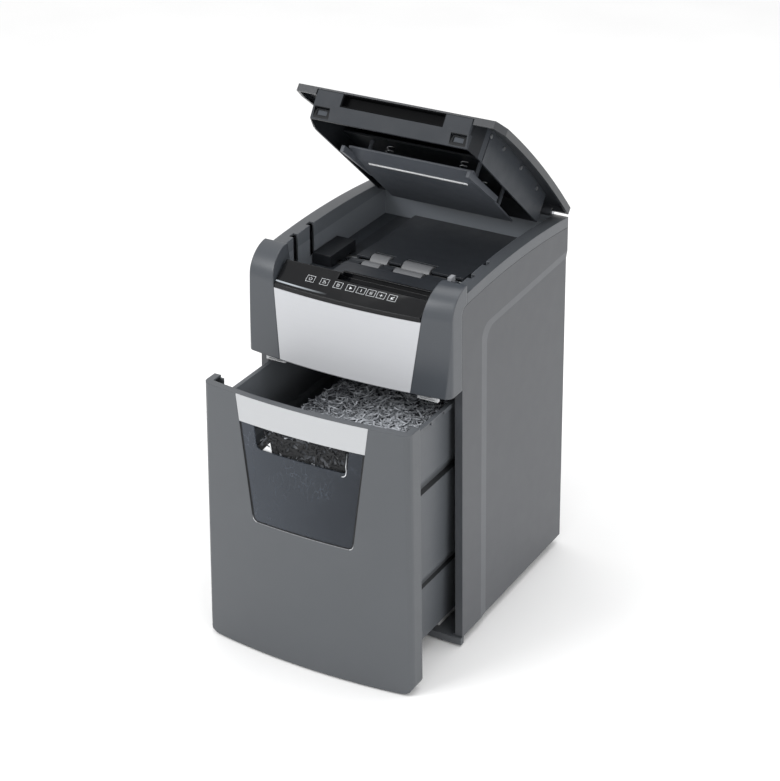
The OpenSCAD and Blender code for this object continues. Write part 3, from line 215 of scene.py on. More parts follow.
# ------------------------------------------------------------------ kinds of material
def plastic(name, col, rough=0.45, grain=0.35, grain_scale=1500, vary=0.05, spec=0.5, edge=0.0012,
            zones=(), space=None, slant=None, hollow=None, height_shading=None):
    """Moulded plastic. Each zone is (lo, hi, factor): a box of space where the colour is multiplied, here
    mostly as painted light and shade.
    slant multiplies the colour of slanted faces, and hollow that of faces turned inward, both as painted
    light.
    The gradient with height, painted light and shade, is (z0, z1, factor at z0, factor at z1). edge is the
    radius that the edges seem to have.
    vary is how much colour and roughness wander, grain how deep the fine texture looks."""
    cloud_scale, shine_scale, wave_scale = 14, 45, 9
    wave_strength, wave_depth, grain_depth = 0.10, 0.0008, 0.00012
    m, nt, b = new_material(name)
    v = coords(nt)
    cloud = noise(nt, v, cloud_scale, 4)
    speck = noise(nt, v, grain_scale, 2, 0.6)
    colour = ramp(nt, cloud, [(0.3, tint(col, 1 - vary)), (0.7, tint(col, 1 + vary))])
    for lo, hi, k in zones:
        colour = times(nt, colour, (k, k, k), inside(nt, space(nt) if space else v, lo, hi))
    if slant:
        colour = times(nt, colour, (slant,) * 3, slanted(nt))
    if hollow:
        colour = times(nt, colour, (hollow,) * 3, inward(nt, v))
    if height_shading:
        z0, z1, k0, k1 = height_shading
        part = remap(nt, axis_of(nt, v, "Z"), 0.0, 1.0, z0, z1)
        colour = times(nt, times(nt, colour, (k0,) * 3), (k1 / k0,) * 3, part)
    link(nt, colour, b.inputs["Base Color"])
    link(nt, remap(nt, noise(nt, v, shine_scale, 5), rough - vary, rough + vary), b.inputs["Roughness"])
    b.inputs["Specular IOR Level"].default_value = spec
    round_edge = nt.nodes.new("ShaderNodeBevel")
    round_edge.samples = 6
    round_edge.inputs["Radius"].default_value = edge
    wave = noise(nt, v, wave_scale, 1)
    wavy = bump(nt, wave, wave_strength, wave_depth, round_edge.outputs["Normal"])
    link(nt, bump(nt, speck, grain, grain_depth, wavy), b.inputs["Normal"])
    return m


def painted_glint(material, z, half_height, x_full, x_gone, k):
    """Painted highlight: a level line, k times as bright as the material's colour, full up to x_full and gone
    at x_gone.
    """
    nt = material.node_tree
    paint = nt.nodes["Principled BSDF"].inputs["Base Color"]
    colour = paint.links[0].from_socket
    v = coords(nt)
    line = maths(nt, "COMPARE", axis_of(nt, v, "Z"), z, half_height)
    line = maths(nt, "MULTIPLY", line, remap(nt, axis_of(nt, v, "X"), 1.0, 0.0, x_full, x_gone))
    link(nt, times(nt, colour, k, line), paint)


def brushed(name, col, rough=0.3, stretch=(6, 6, 900), metal=1.0, vary=0.06):
    """Metal or metallic paint, with noise stretched along one direction."""
    m, nt, b = new_material(name)
    line = noise(nt, coords(nt, stretch), 1.0, 5, 0.65)
    colour = ramp(nt, line, [(0.25, tint(col, 1 - vary)), (0.75, tint(col, 1 + vary))])
    link(nt, colour, b.inputs["Base Color"])
    link(nt, remap(nt, line, rough - 0.05, rough + 0.09), b.inputs["Roughness"])
    b.inputs["Metallic"].default_value = metal
    link(nt, bump(nt, line, 0.12, 0.0002), b.inputs["Normal"])
    return m


def board_material(name):
    """Green circuit board with lighter spots."""
    m, nt, b = new_material(name)
    vor = nt.nodes.new("ShaderNodeTexVoronoi")
    vor.inputs["Scale"].default_value = 160
    link(nt, coords(nt), vor.inputs["Vector"])
    spots = vor.outputs["Distance"]
    colour = ramp(nt, spots, [(0.1, (0.05, 0.24, 0.10)), (0.4, (0.012, 0.09, 0.035))])
    link(nt, colour, b.inputs["Base Color"])
    b.inputs["Roughness"].default_value = 0.35
    link(nt, bump(nt, spots, 0.2, 0.0002), b.inputs["Normal"])
    return m


def paper_material(name, low, high):
    """Paper whose tone comes from each strip's own attribute, which also carries painted light and shade,
    with fine fibre noise.
    """
    m, nt, b = new_material(name)
    v = coords(nt)
    tone_and_shading = nt.nodes.new("ShaderNodeAttribute")
    tone_and_shading.attribute_name = "tone_and_shading"
    level = maths(nt, "MULTIPLY_ADD", noise(nt, v, 420, 3), 0.35, tone_and_shading.outputs["Fac"])
    # low levels go to near black: painted shade
    link(nt, ramp(nt, level, [(0.0, tint(low, 0.12)), (0.3, low), (1.0, high)]), b.inputs["Base Color"])
    b.inputs["Roughness"].default_value = 0.8
    link(nt, bump(nt, noise(nt, v, 900, 2), 0.25, 0.0001), b.inputs["Normal"])
    return m


def smoked(name):
    """Dark pane, lighter on its left and darker to the right as painted shade, through which a few strands of
    paper show faintly.
    """
    half_width, strand_scale, strand_width, strand_gain = 0.09, 95, 0.012, 1.6
    m, nt, b = new_material(name)
    v = coords(nt)
    # painted shade that deepens towards the pane's right
    right_shade = remap(nt, axis_of(nt, v, "X"), 0.0, 0.7, -half_width, half_width)
    cloud = maths(nt, "MULTIPLY_ADD", noise(nt, v, 12, 3), 0.3, right_shade)
    colour = ramp(nt, cloud, [(0.1, (0.050, 0.058, 0.071)), (0.9, (0.020, 0.024, 0.031))])
    strand_noise = noise(nt, coords(nt, (1, 1, 0.6)), strand_scale, 2, 0.4)
    strands = maths(nt, "COMPARE", strand_noise, 0.5, strand_width)
    strands = maths(nt, "MULTIPLY", strands, remap(nt, noise(nt, v, 22, 2), 0.0, 1.0, 0.42, 0.62))
    link(nt, times(nt, colour, (strand_gain,) * 3, strands), b.inputs["Base Color"])
    link(nt, remap(nt, noise(nt, v, 60, 4), 0.08, 0.16), b.inputs["Roughness"])
    b.inputs["Alpha"].default_value = 0.88
    b.inputs["Specular IOR Level"].default_value = 0.22
    return m


# ------------------------------------------------------------------ materials of this machine
# the sides: painted light on slanted faces and on the inner faces round the tray, and painted light low down
# that turns to painted shade towards the top
shell = plastic(
    "charcoal shell", (0.0570, 0.0610, 0.0680), 0.42, vary=0.015, grain=0.2, edge=0.0006, slant=1.3,
    zones=[zone((150, 160.6), (0, 322), (500, 640), 3.5)],  # painted light on the inner faces of the sides, round the tray
    height_shading=(0.12, 0.50, 1.06, 0.90))
drawer_m = plastic("drawer plastic", (0.0675, 0.0735, 0.0810), 0.42, vary=0.02, grain=0.25, edge=0.0022)
rim = plastic("head rim plastic", (0.066, 0.072, 0.080), 0.36, vary=0.02, zones=[
    zone((0, 141.5), (0, 322.3), (400, 700), 2.1),  # painted light on the walls of the tray opening
    zone((0, 141.5), (0, 322.3), (500, 548), 1.4)])  # more painted light on their lower part
column = plastic("column plastic", (0.0495, 0.0555, 0.0640), 0.30, vary=0.02, edge=0.003)
lidded = plastic("lid plastic", (0.0235, 0.0260, 0.0300), 0.36, vary=0.015)
under = plastic("lid frame plastic", (0.0370, 0.0415, 0.0485), 0.42, spec=0.15, space=closed_lid, zones=[
    zone((0, 131.5), (-12, 23.4), (520, 600), 0.76),  # painted shade on the front bar
    zone((0, 131.5), (23.5, 296), (400, 552), 0.35),  # painted shade in the hollow behind it, lower part
    zone((0, 131.5), (19, 296), (552, 585), 0.35),  # painted shade in the hollow, upper part
    zone((95.5, 120.5), (10, 26), (534, 550), 0.25),  # painted shade in one pocket a side in the bar
    zone((100.5, 115.5), (22, 26), (538.5, 546), 8.0)])  # pale floor of the pockets
press = plastic("pressure plate plastic", (0.078, 0.086, 0.100), 0.42)
inner = plastic("tray plastic", (0.0315, 0.0355, 0.0420), 0.40, grain_scale=1100,
                zones=[zone((118, 150), (25, 322), (500, 640), 1.8)])  # painted light on the sides of the tray
guard_m = plastic("gear cover plastic", (0.0150, 0.0170, 0.0205), 0.40)
# painted shade in each groove of the bin's sides: dark on its lower step, then half shade over it (z range in
# mm, factor)
groove_painted_shade = [((284.9, 288.7), 0.22), ((288.7, 300), 0.72), ((122.9, 126.5), 0.22), ((126.5, 138), 0.72)]
# painted light on the bin's faces turned inward, and the grooves' painted shade
bin_m = plastic("bin plastic", (0.083, 0.090, 0.099), 0.45, vary=0.02, hollow=1.9,
                zones=[zone((120, 143), (-300, 400), z, k) for z, k in groove_painted_shade])
base_m = plastic("base plastic", (0.077, 0.083, 0.091), 0.5)
gloss = plastic("gloss black", (0.0036, 0.0039, 0.0047), 0.14, grain=0.02, spec=0.25, edge=0.002)
# painted highlight along the control panel's left front edge
painted_glint(gloss, z=0.5396, half_height=0.0007, x_full=-0.085, x_gone=-0.030, k=(90.0, 90.0, 80.0))
# near black with little shine: painted shade in the lid's grip recess
grip_recess_shade = plastic("grip recess in painted shade", (0.0025, 0.0027, 0.0032), 0.5, grain=0.1, spec=0.05)
silver = brushed("satin silver", (0.50, 0.51, 0.53), 0.52, metal=0.2, vary=0.025)
band = brushed("satin silver band", (0.44, 0.45, 0.462), 0.5, metal=0.2, vary=0.025)
pale = plastic("pale plastic", (0.62, 0.63, 0.64), 0.4, vary=0.03)
strip_m = plastic("white strip plastic", (0.88, 0.89, 0.90), 0.4, vary=0.02)
catch_m = plastic("grey catch plastic", (0.30, 0.31, 0.33), 0.4, vary=0.03)
rubber = plastic("foot rubber", (0.018, 0.018, 0.02), 0.75, grain=0.6, grain_scale=700)
roller = plastic("roller rubber", (0.18, 0.185, 0.195), 0.5, grain=0.5, grain_scale=800)
zinc = brushed("zinc plate", (0.50, 0.51, 0.53), 0.38, (60, 60, 60))
# dark steel for the feed shafts
dark_zinc = brushed("dark steel", (0.10, 0.105, 0.11), 0.42, (60, 60, 60))
ground = brushed("ground steel", (0.36, 0.37, 0.39), 0.30, (900, 20, 20))
sinter = brushed("sintered steel", (0.36, 0.35, 0.33), 0.5, (300, 300, 300))
bronze = brushed("bronze", (0.52, 0.33, 0.15), 0.42, (200, 200, 200))
copper = brushed("lacquered copper", (0.55, 0.22, 0.09), 0.3, (700, 30, 30))
nylon = plastic("nylon", (0.62, 0.60, 0.52), 0.42, vary=0.04)
motor_m = plastic("motor paint", (0.026, 0.028, 0.031), 0.32)
red = plastic("red plastic", (0.5, 0.025, 0.02), 0.3)
ink = plastic("pale print", (0.62, 0.64, 0.66), 0.5, vary=0.03, grain=0.0)
board = board_material("circuit board")
# packed paper, dark as painted shade between the strips
heap_shade_m = plastic("packed paper in painted shade", (0.048, 0.052, 0.059), 0.8, grain=0.9, grain_scale=260, vary=0.5)
paper = paper_material("paper strips", (0.066, 0.072, 0.083), (0.42, 0.44, 0.47))
# paper for the strand, also used for the painted light and shade round the window
strand_and_edge_light_m = paper_material("paper strand and painted window edge light", (0.060, 0.066, 0.074), (0.66, 0.67, 0.69))
scrap_m = plastic("paper scrap", (0.72, 0.73, 0.74), 0.8, vary=0.03)
smoke = smoked("smoked window")

finish_of = {
    shell: ["side_panel_left", "side_panel_right", "back_panel"],
    drawer_m: ["drawer_front"],
    catch_m: ["lid_catch"],
    rim: ["top_housing"],
    column: ["front_fascia"],
    lidded: ["lid_shell"],
    under: ["lid_frame"],
    press: ["pressure_plate"],
    inner: ["paper_tray", "manual_chute", "cutter_combs"],
    guard_m: ["feed_gear_cover"],
    bin_m: ["bin"],
    base_m: ["base_tray"],
    gloss: ["control_panel", "mains_inlet", "switch_housing", "power_rocker", "safety_switch"],
    grip_recess_shade: ["lid_grip"],
    silver: ["fascia_plate"],
    band: ["drawer_band"],
    pale: ["latch_clips", "bin_rails"],
    strip_m: ["plate_strip"],
    rubber: ["feet"],
    roller: ["feed_rollers_front", "feed_rollers_rear"],
    zinc: ["head_deck", "cutter_plate_left", "cutter_plate_right", "tie_rods", "gear_axles", "gear_guard",
           "lid_hinge_pins", "lid_screws", "plate_springs", "back_screws"],
    dark_zinc: ["feed_shaft_front", "feed_shaft_rear"],
    ground: ["cutter_shaft_front", "cutter_shaft_rear"],
    sinter: ["sync_gear_front", "sync_gear_rear"],
    bronze: ["shaft_bushes"],
    copper: ["motor_rotor"],
    nylon: ["reduction_gear_first", "reduction_gear_second", "motor_fan", "feed_drive_gear",
            "feed_idler_gear"],
    motor_m: ["motor_can"],
    red: ["safety_plunger"],
    board: ["panel_board", "main_board"],
    heap_shade_m: ["shredded_paper"],
    smoke: ["drawer_window"],
}
for finish, names in finish_of.items():
    for node in names:
        nodes[node].data.materials.clear()
        nodes[node].data.materials.append(finish)
left = set(nodes) - {node for names in finish_of.values() for node in names}
assert not left, left


# ------------------------------------------------------------------ pieces
def piece(name, verts, faces, mat, body, slot, smooth=False, tones_and_shading=None):
    """Object of the scene that rides on a body. The tones give each point its tone, painted light and shade
    included, for paper_material.
    """
    me = bpy.data.meshes.new(name)
    me.from_pydata([tuple(v) for v in verts], [], faces)
    me.validate()
    bm = bmesh.new()
    bm.from_mesh(me)
    bmesh.ops.recalc_face_normals(bm, faces=bm.faces)
    bm.to_mesh(me)
    bm.free()
    if smooth:
        me.shade_smooth()
    if tones_and_shading is not None:
        at = me.attributes.new("tone_and_shading", "FLOAT", "POINT")
        at.data.foreach_set("value", np.asarray(tones_and_shading, np.float32))
    me.materials.append(mat)
    o = bpy.data.objects.new(name, me)
    scene.collection.objects.link(o)
    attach(o, body)
    return o


def joined(parts):
    """One list of points and one of faces from several (points, faces)."""
    vs, fs = [], []
    for v, f in parts:
        k = len(vs)
        vs += v
        fs += [tuple(i + k for i in q) for q in f]
    return vs, fs


# ------------------------------------------------------------------ packed paper under the heap's surface
# The surface is worked out from the boxes of the heap's CAD solid and of the bin.
bin_lo, bin_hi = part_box("bin")
heap_lo, heap_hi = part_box("shredded_paper")
rim_z = bin_hi.z
HEAP_PLAY = 0.002  # the surface stays this far from the sides of the CAD solid's box
half = heap_hi.x - HEAP_PLAY
y_front, y_back = heap_lo.y + HEAP_PLAY, heap_hi.y - HEAP_PLAY
BOW_RADIUS, BOW_AHEAD = 1.008, 0.004  # the drawer's front is an arc that starts before the bin
bow_mid = bin_lo.y - BOW_AHEAD + BOW_RADIUS
# depth of the heap's surface under the bin's rim, at parts of its half width from left to right
DEPTH_AT = [-1, -0.78, -0.42, 1]
DEPTH_FRONT = [0.126, 0.090, 0.018, 0.013]
DEPTH_REAR = [0.150, 0.115, 0.043, 0.035]
LUMP_HEIGHT, LUMP_SCALE = 0.0035, 60
SUNK = 0.004  # the block and its strips lie this much lower
BLOCK_INSET, TOP_INSET, WINDOW_INSET, LEAST_INSET = 0.0075, 0.012, (0.0050, 0.0085), 0.0045


def bow(x, inset):
    """Front face of the drawer at x, moved in by inset."""
    return bow_mid - np.sqrt((BOW_RADIUS - inset) ** 2 - x * x)


def lump(x, y, scale):
    """Smooth bumps between -1 and 1: four waves, each finer and lower than the one before."""
    a = 0.0
    for k in range(4):
        f = scale * 1.7 ** k
        a = a + np.sin(x * f * 1.13 + 3.1 + 1.7 * k) * np.cos(y * f * 1.11 + 1.3 + 2.3 * k) / 1.6 ** k
    return a / 2.2


def heap_z(x, y):
    """Height of the heap's surface."""
    v = np.clip((y - y_front) / (y_back - y_front), 0, 1)
    front = np.interp(x / half, DEPTH_AT, DEPTH_FRONT)
    rear = np.interp(x / half, DEPTH_AT, DEPTH_REAR)
    return rim_z - (front + (rear - front) * v) + LUMP_HEIGHT * lump(x, y, LUMP_SCALE) - SUNK


def heap_up(x, y, e=0.004):
    """Upward direction square to the heap's surface."""
    return np.array([-(heap_z(x + e, y) - heap_z(x - e, y)) / (2 * e),
                     -(heap_z(x, y + e) - heap_z(x, y - e)) / (2 * e), 1.0])


def heap_block(nx=64, ny=60):
    """Closed block from the heap's surface down to the bottom of its CAD solid."""
    verts, faces = [], []
    for j in range(ny):
        for x in np.linspace(-half, half, nx):
            y0 = max(bow(x, BLOCK_INSET), bin_lo.y)
            y = y0 + (y_back - y0) * j / (ny - 1)
            verts.append((x, y, min(heap_z(x, y), rim_z - SUNK)))
    below = len(verts)
    verts += [(x, y, heap_lo.z) for x, y, _ in verts]
    for j in range(ny - 1):
        for i in range(nx - 1):
            a = j * nx + i
            faces.append((a, a + 1, a + nx + 1, a + nx))
            faces.append((below + a, below + a + nx, below + a + nx + 1, below + a + 1))
    ring = list(range(nx))
    ring += [j * nx + nx - 1 for j in range(1, ny)]
    ring += [(ny - 1) * nx + i for i in range(nx - 2, -1, -1)]
    ring += [j * nx for j in range(ny - 2, 0, -1)]
    for a, b in zip(ring, ring[1:] + ring[:1]):
        faces.append((a, below + a, below + b, b))
    return verts, faces


# the packed paper's dark colour is painted shade between the strips
mass = piece("paper_mass", *heap_block(), heap_shade_m, "drawer", "paper_strips", smooth=True)
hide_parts("shredded_paper")

# ------------------------------------------------------------------ loose paper strips
rng = np.random.default_rng(11)
STRIP_THICK, STRIP_STEPS = 0.00022, 4
strip_verts, strip_faces, strip_tones_and_shading = [], [], []


def strip(middle, along, normal, length, width, curl, twist, tone_and_shading):
    """Adds a curved and twisted strip, a closed thin solid, to the three lists above."""
    along = along / np.linalg.norm(along)
    side = np.cross(normal, along)
    side /= np.linalg.norm(side)
    up = np.cross(along, side)
    base = len(strip_verts)
    for i in range(STRIP_STEPS + 1):
        t = i / STRIP_STEPS - 0.5
        bend = curl * t
        p = middle + along * (length * np.sinc(bend / np.pi) * t) + up * (length * t * bend * 0.5)
        a = twist * t
        w = (side * math.cos(a) + up * math.sin(a)) * width / 2
        h = (up * math.cos(a) - side * math.sin(a)) * STRIP_THICK / 2
        for corner in (-w - h, w - h, w + h, -w + h):
            strip_verts.append(p + corner)
            strip_tones_and_shading.append(tone_and_shading)
    for i in range(STRIP_STEPS):
        a = base + 4 * i
        for k in range(4):
            strip_faces.append((a + k, a + (k + 1) % 4, a + 4 + (k + 1) % 4, a + 4 + k))
    strip_faces.append((base + 3, base + 2, base + 1, base))
    end = base + 4 * STRIP_STEPS
    strip_faces.append((end, end + 1, end + 2, end + 3))


def strips_on_top(count):
    """Strips that lie on the heap: fewer on its low left side, darker there as painted shade and lighter to
    the right as painted light, a few of them upright.
    """
    low_side, share_left_out, share_upright, upright_pitch, flat_pitch = -0.5, 0.55, 0.05, 0.9, 0.30
    crowd_front = 1.35  # over 1 puts more strips at the front
    settle = 0.8  # how much of its climb out of the surface a strip loses
    for _ in range(count):
        x = rng.uniform(-half, half)
        if x < low_side * half and rng.uniform() < share_left_out:
            continue
        back = rng.uniform(0, 1) ** crowd_front
        y0 = bow(x, TOP_INSET)
        y = y0 + (y_back - y0) * back
        z = heap_z(x, y) + rng.uniform(-0.002, 0.006)
        yaw = rng.uniform(0, 2 * math.pi)
        pitch = rng.normal(0, upright_pitch if rng.uniform() < share_upright else flat_pitch)
        along = np.array([math.cos(yaw) * math.cos(pitch), math.sin(yaw) * math.cos(pitch), math.sin(pitch)])
        up = heap_up(x, y)
        along = along - up * np.dot(along, up) / np.dot(up, up) * settle
        normal = up + rng.normal(0, 0.45, 3)
        length, width = rng.uniform(0.009, 0.024), rng.uniform(0.0011, 0.0024)
        curl, twist = rng.normal(0, 1.0), rng.normal(0, 1.2)
        # painted shade on the low left and painted light to the right, with each strip's own random tone
        # added, which spreads less to the right
        tone_and_shading = float(np.interp(x / half, [-0.6, -0.2, 0.3], [-0.30, 0.08, 0.46]))
        tone_and_shading += rng.beta(1.6, 2.6) * float(np.interp(x / half, [-0.6, 0.1], [1.0, 0.72]))
        strip(np.array([x, y, z]), along, normal, length, width, curl, twist, tone_and_shading)


def strips_at_window(count, half_x=0.096):
    """Strips that lie against the drawer's front, behind the window, with painted shade behind its hand
    notch.
    """
    z_low = heap_lo.z + 0.006
    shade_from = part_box("drawer_window")[1].z - 0.036 - 0.006  # a little under the notch's lower edge
    for _ in range(count):
        x = rng.uniform(-half_x, half_x)
        z = rng.uniform(z_low, heap_z(x, y_front))
        y = bow(x, rng.uniform(*WINDOW_INSET))
        a = rng.uniform(0, 2 * math.pi)
        along = np.array([math.cos(a), rng.normal(0, 0.12), math.sin(a)])
        normal = np.array([0, -1, 0]) + rng.normal(0, 0.22, 3)
        length, width = rng.uniform(0.010, 0.024), rng.uniform(0.0018, 0.0032)
        curl, twist = rng.normal(0, 0.6), rng.normal(0, 0.7)
        # strips behind the notch get painted shade, the others their own random tone
        tone_and_shading = rng.uniform(-0.47, -0.20) if z > shade_from else rng.beta(1.6, 2.4)
        strip(np.array([x, y, z]), along, normal, length, width, curl, twist, tone_and_shading)


strips_on_top(5200)
strips_at_window(1500)
# no strip passes the bin's walls, the drawer's front or the rim
points = np.array(strip_verts)
WALL, UNDER_RIM = 0.0085, 0.0015
wall_x = bin_hi.x - WALL
points[:, 0] = np.clip(points[:, 0], -wall_x, wall_x)
points[:, 1] = np.clip(points[:, 1], bow(points[:, 0], LEAST_INSET), y_back)
points[:, 2] = np.clip(points[:, 2], heap_lo.z, rim_z - UNDER_RIM)
piece("paper_strips", points, strip_faces, paper, "drawer", "paper_strips", tones_and_shading=strip_tones_and_shading)


# ------------------------------------------------------------------ pictograms of the control panel
def prism(outline, place, z0, z1):
    """Closed plate from a 2-D outline, between z0 and z1 of the local frame place."""
    n = len(outline)
    vs = [place @ Vector((x, y, z0)) for x, y in outline] + [place @ Vector((x, y, z1)) for x, y in outline]
    fs = [tuple(range(n - 1, -1, -1)), tuple(range(n, 2 * n))]
    fs += [(i, (i + 1) % n, n + (i + 1) % n, n + i) for i in range(n)]
    return vs, fs


def tree_of(node):
    me = nodes[node].data
    return BVHTree.FromPolygons([v.co for v in me.vertices], [tuple(q.vertices) for q in me.polygons])


def lay_on(tree, x, y):
    """Frame on the surface under (x, y): z is the surface normal, x runs along +X."""
    p, n, _, _ = tree.ray_cast(Vector((x, y, 2.0)), Vector((0, 0, -1)))
    ex = Vector((1, 0, 0)) - n * n.x
    ex.normalize()
    ey = n.cross(ex)
    return Matrix(((ex.x, ey.x, n.x, p.x), (ex.y, ey.y, n.y, p.y), (ex.z, ey.z, n.z, p.z), (0, 0, 0, 1)))


def disc(r, n):
    return [(r * math.cos(2 * math.pi * i / n), r * math.sin(2 * math.pi * i / n)) for i in range(n)]


def bar(x0, y0, x1, y1):
    return [(x0, y0), (x1, y0), (x1, y1), (x0, y1)]


def thick_line(a, b, w):
    d = Vector((b[0] - a[0], b[1] - a[1])).normalized()
    s = (-d.y * w / 2, d.x * w / 2)
    return [(a[0] - s[0], a[1] - s[1]), (b[0] - s[0], b[1] - s[1]),
            (b[0] + s[0], b[1] + s[1]), (a[0] + s[0], a[1] + s[1])]


def frame_bars(w, h, t):
    return [bar(-w, -h, w, -h + t), bar(-w, h - t, w, h), bar(-w, -h + t, -w + t, h - t),
            bar(w - t, -h + t, w, h - t)]


def arc_bars(r, t, a0, a1, n=10):
    """Ring of thickness t from angle a0 to a1 in degrees, in n short plates."""
    out = []
    for i in range(n):
        p, q = (math.radians(a0 + (a1 - a0) * k / n) for k in (i, i + 1))
        out.append([(r * math.cos(p), r * math.sin(p)), ((r + t) * math.cos(p), (r + t) * math.sin(p)),
                    ((r + t) * math.cos(q), (r + t) * math.sin(q)), (r * math.cos(q), r * math.sin(q))])
    return out


# outlines in mm about the middle of each field, from left to right, and the fields' places in x
signs = [
    (-65.9, arc_bars(2.0, 0.7, 130, 410) + [bar(-0.35, 0.8, 0.35, 3.4)]),
    (-43.3, [bar(-2.6, -2.2, 2.6, -1.5), thick_line((-2.4, 2.4), (2.4, -0.6), 0.7),
             thick_line((-2.4, 0.2), (1.0, 2.6), 0.7)]),
    (-21.3, [bar(-2.2, -2.6, -1.5, 2.6), bar(1.5, -2.6, 2.2, 1.4), bar(-2.2, -2.6, 2.2, -1.9),
             thick_line((-1.8, 2.4), (2.0, 1.2), 0.7), thick_line((-0.8, -0.6), (1.0, 0.8), 0.7)]),
    (-1.2, [[(-1.8, -2.4), (2.4, 0.0), (-1.8, 2.4)]]),
    (15.7, [bar(-0.45, -2.4, 0.45, 2.4)]),
    (31.6, [bar(-2.4, -2.2, 2.4, -1.5), bar(-2.4, -0.6, 2.4, 0.1),
            thick_line((-2.2, 1.0), (2.2, 2.4), 0.7)]),
    (47.5, [disc(1.3, 16), bar(-0.35, -2.8, 0.35, -1.7), bar(-0.35, 1.7, 0.35, 2.8),
            bar(1.7, -0.35, 2.8, 0.35), bar(-2.8, -0.35, -1.7, 0.35)]),
    (65.1, [bar(-2.2, -2.4, 0.4, 1.0), thick_line((0.2, 0.6), (2.6, 2.4), 1.0), bar(0.9, -2.4, 2.2, -0.6)]),
]
FIELD_FRAME = (6.6, 5.4, 0.6)  # half width, half height and line width in mm
FIELD_FROM_BACK = 0.0343  # from the panel's rear edge to the middle of the row of fields
SINK, RISE = -0.05 * MM, 0.08 * MM  # the print starts under the surface and ends just over it
panel = tree_of("control_panel")
row_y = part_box("control_panel")[1].y - FIELD_FROM_BACK
prints = []
for sign_x, outlines in signs:
    place = lay_on(panel, sign_x * MM, row_y)
    for outline in frame_bars(*FIELD_FRAME) + outlines:
        prints.append(prism([(a * MM, b * MM) for a, b in outline], place, SINK, RISE))
piece("panel_signs", *joined(prints), ink, "cabinet", "clip_plastic")


# ------------------------------------------------------------------ window: scrap, strand, painted shade in the gap and painted light on the lip
def on_front(x_mm, z_mm, inset):
    """Point on the drawer's front, moved in by inset metres."""
    return Vector((x_mm * MM, float(bow(x_mm * MM, inset)), z_mm * MM))


def ribbon(name, line, width, thick, mat, tones_and_shading, slot="paper_strips"):
    """Thin strip on the drawer along a line of (point, direction across)."""
    vs, fs, ts = [], [], []
    out = Vector((0, -1, 0))
    for (p, across), t in zip(line, tones_and_shading):
        for a, b in ((-1, -1), (1, -1), (1, 1), (-1, 1)):
            vs.append(p + across * (a * width / 2) + out * (b * thick / 2))
            ts.append(t)
    for i in range(len(line) - 1):
        k = 4 * i
        fs += [(k + j, k + (j + 1) % 4, k + 4 + (j + 1) % 4, k + 4 + j) for j in range(4)]
    k = 4 * (len(line) - 1)
    fs += [(3, 2, 1, 0), (k, k + 1, k + 2, k + 3)]
    return piece(name, vs, fs, mat, "drawer", slot, tones_and_shading=ts)


def scrap():
    """Triangle of paper in the notch's left end, with its long edge slightly bent."""
    low_left, low_right, top = (on_front(x, z, 0.0046) for x, z in
                                ((-65.4, 340.7), (-48.4, 339.2), (-51.2, 358.2)))
    bent = low_right.lerp(top, 0.5) + Vector((0.0003, 0, 0))
    front = [low_left, low_right, bent, top]
    faces = [(3, 2, 1, 0), (4, 5, 6, 7)] + [(i, (i + 1) % 4, 4 + (i + 1) % 4, 4 + i) for i in range(4)]
    return front + [p + Vector((0, 0.0003, 0)) for p in front], faces


piece("paper_scrap", *scrap(), scrap_m, "drawer", "paper_strips")

# strip of paper that hangs over the notch's right end and hooks to the left: (x, z) in mm
strand = [(74, 375), (73, 365), (71.9, 354.8), (72.6, 347), (71.5, 341), (68.6, 338.3), (64.8, 337.4)]
strand_line = []
for i, (x, z) in enumerate(strand):
    before, after = strand[max(0, i - 1)], strand[min(len(strand) - 1, i + 1)]
    d = Vector((after[0] - before[0], 0, after[1] - before[1])).normalized()
    strand_line.append((on_front(x, z, 0.0009), Vector((-d.z, 0, d.x))))
ribbon("paper_strand", strand_line, 0.0012, 0.0002, strand_and_edge_light_m, (0.15, 0.25, 0.6, 0.4, 0.9, 0.9, 0.3))

# Half of the line around the window, in mm, from the middle of its bottom up its right side. Each point has
# its direction away from the window and a tone of painted light: a painted highlight in the corner, a dim one
# along the bottom, painted shade at the side.
FLARE = 24 / 198  # how far each side of the window leans out for each mm of height
CORNER, CORNER_STEPS = 8.6, 10
EDGE_DIM_LIGHT, EDGE_HIGHLIGHT, EDGE_SHADE = 0.35, 1.6, -0.2
win_lo, win_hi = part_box("drawer_window")
low_z, high_z = win_lo.z / MM - 1, win_hi.z / MM + 1
low_x = win_hi.x / MM + 1 - FLARE * (high_z - low_z)
corner_x = low_x + FLARE * CORNER - CORNER * math.sqrt(1 + FLARE * FLARE)
lean = math.atan(FLARE)
half_line = [(x, low_z, (0, -1), EDGE_DIM_LIGHT) for x in np.linspace(0, corner_x - 2, 10)]
for i in range(CORNER_STEPS):
    a = math.radians(-90 + (90 - math.degrees(lean)) * i / (CORNER_STEPS - 1))
    n = (math.cos(a), math.sin(a))
    half_line.append((corner_x + CORNER * n[0], low_z + CORNER + CORNER * n[1], n,
                      EDGE_HIGHLIGHT if 2 <= i <= 7 else EDGE_DIM_LIGHT))
for z in np.linspace(low_z + 14, high_z - 3, 14):
    half_line.append((low_x + FLARE * (z - low_z), z, (math.cos(lean), -math.sin(lean)), EDGE_SHADE))
window_line = [(-x, z, (-n[0], n[1]), t) for x, z, n, t in reversed(half_line[1:])] + half_line


def window_ribbon(name, into_mm, width_mm, inset, tones_and_shading):
    """Ribbon along the window's line, moved into_mm towards the window, that carries painted light and shade.
    """
    line = [(on_front(x - n[0] * into_mm, z - n[1] * into_mm, inset), Vector((n[0], 0, n[1])))
            for x, z, n, _ in window_line]
    ribbon(name, line, width_mm * MM, 0.0003, strand_and_edge_light_m, tones_and_shading, slot="smoked_window")


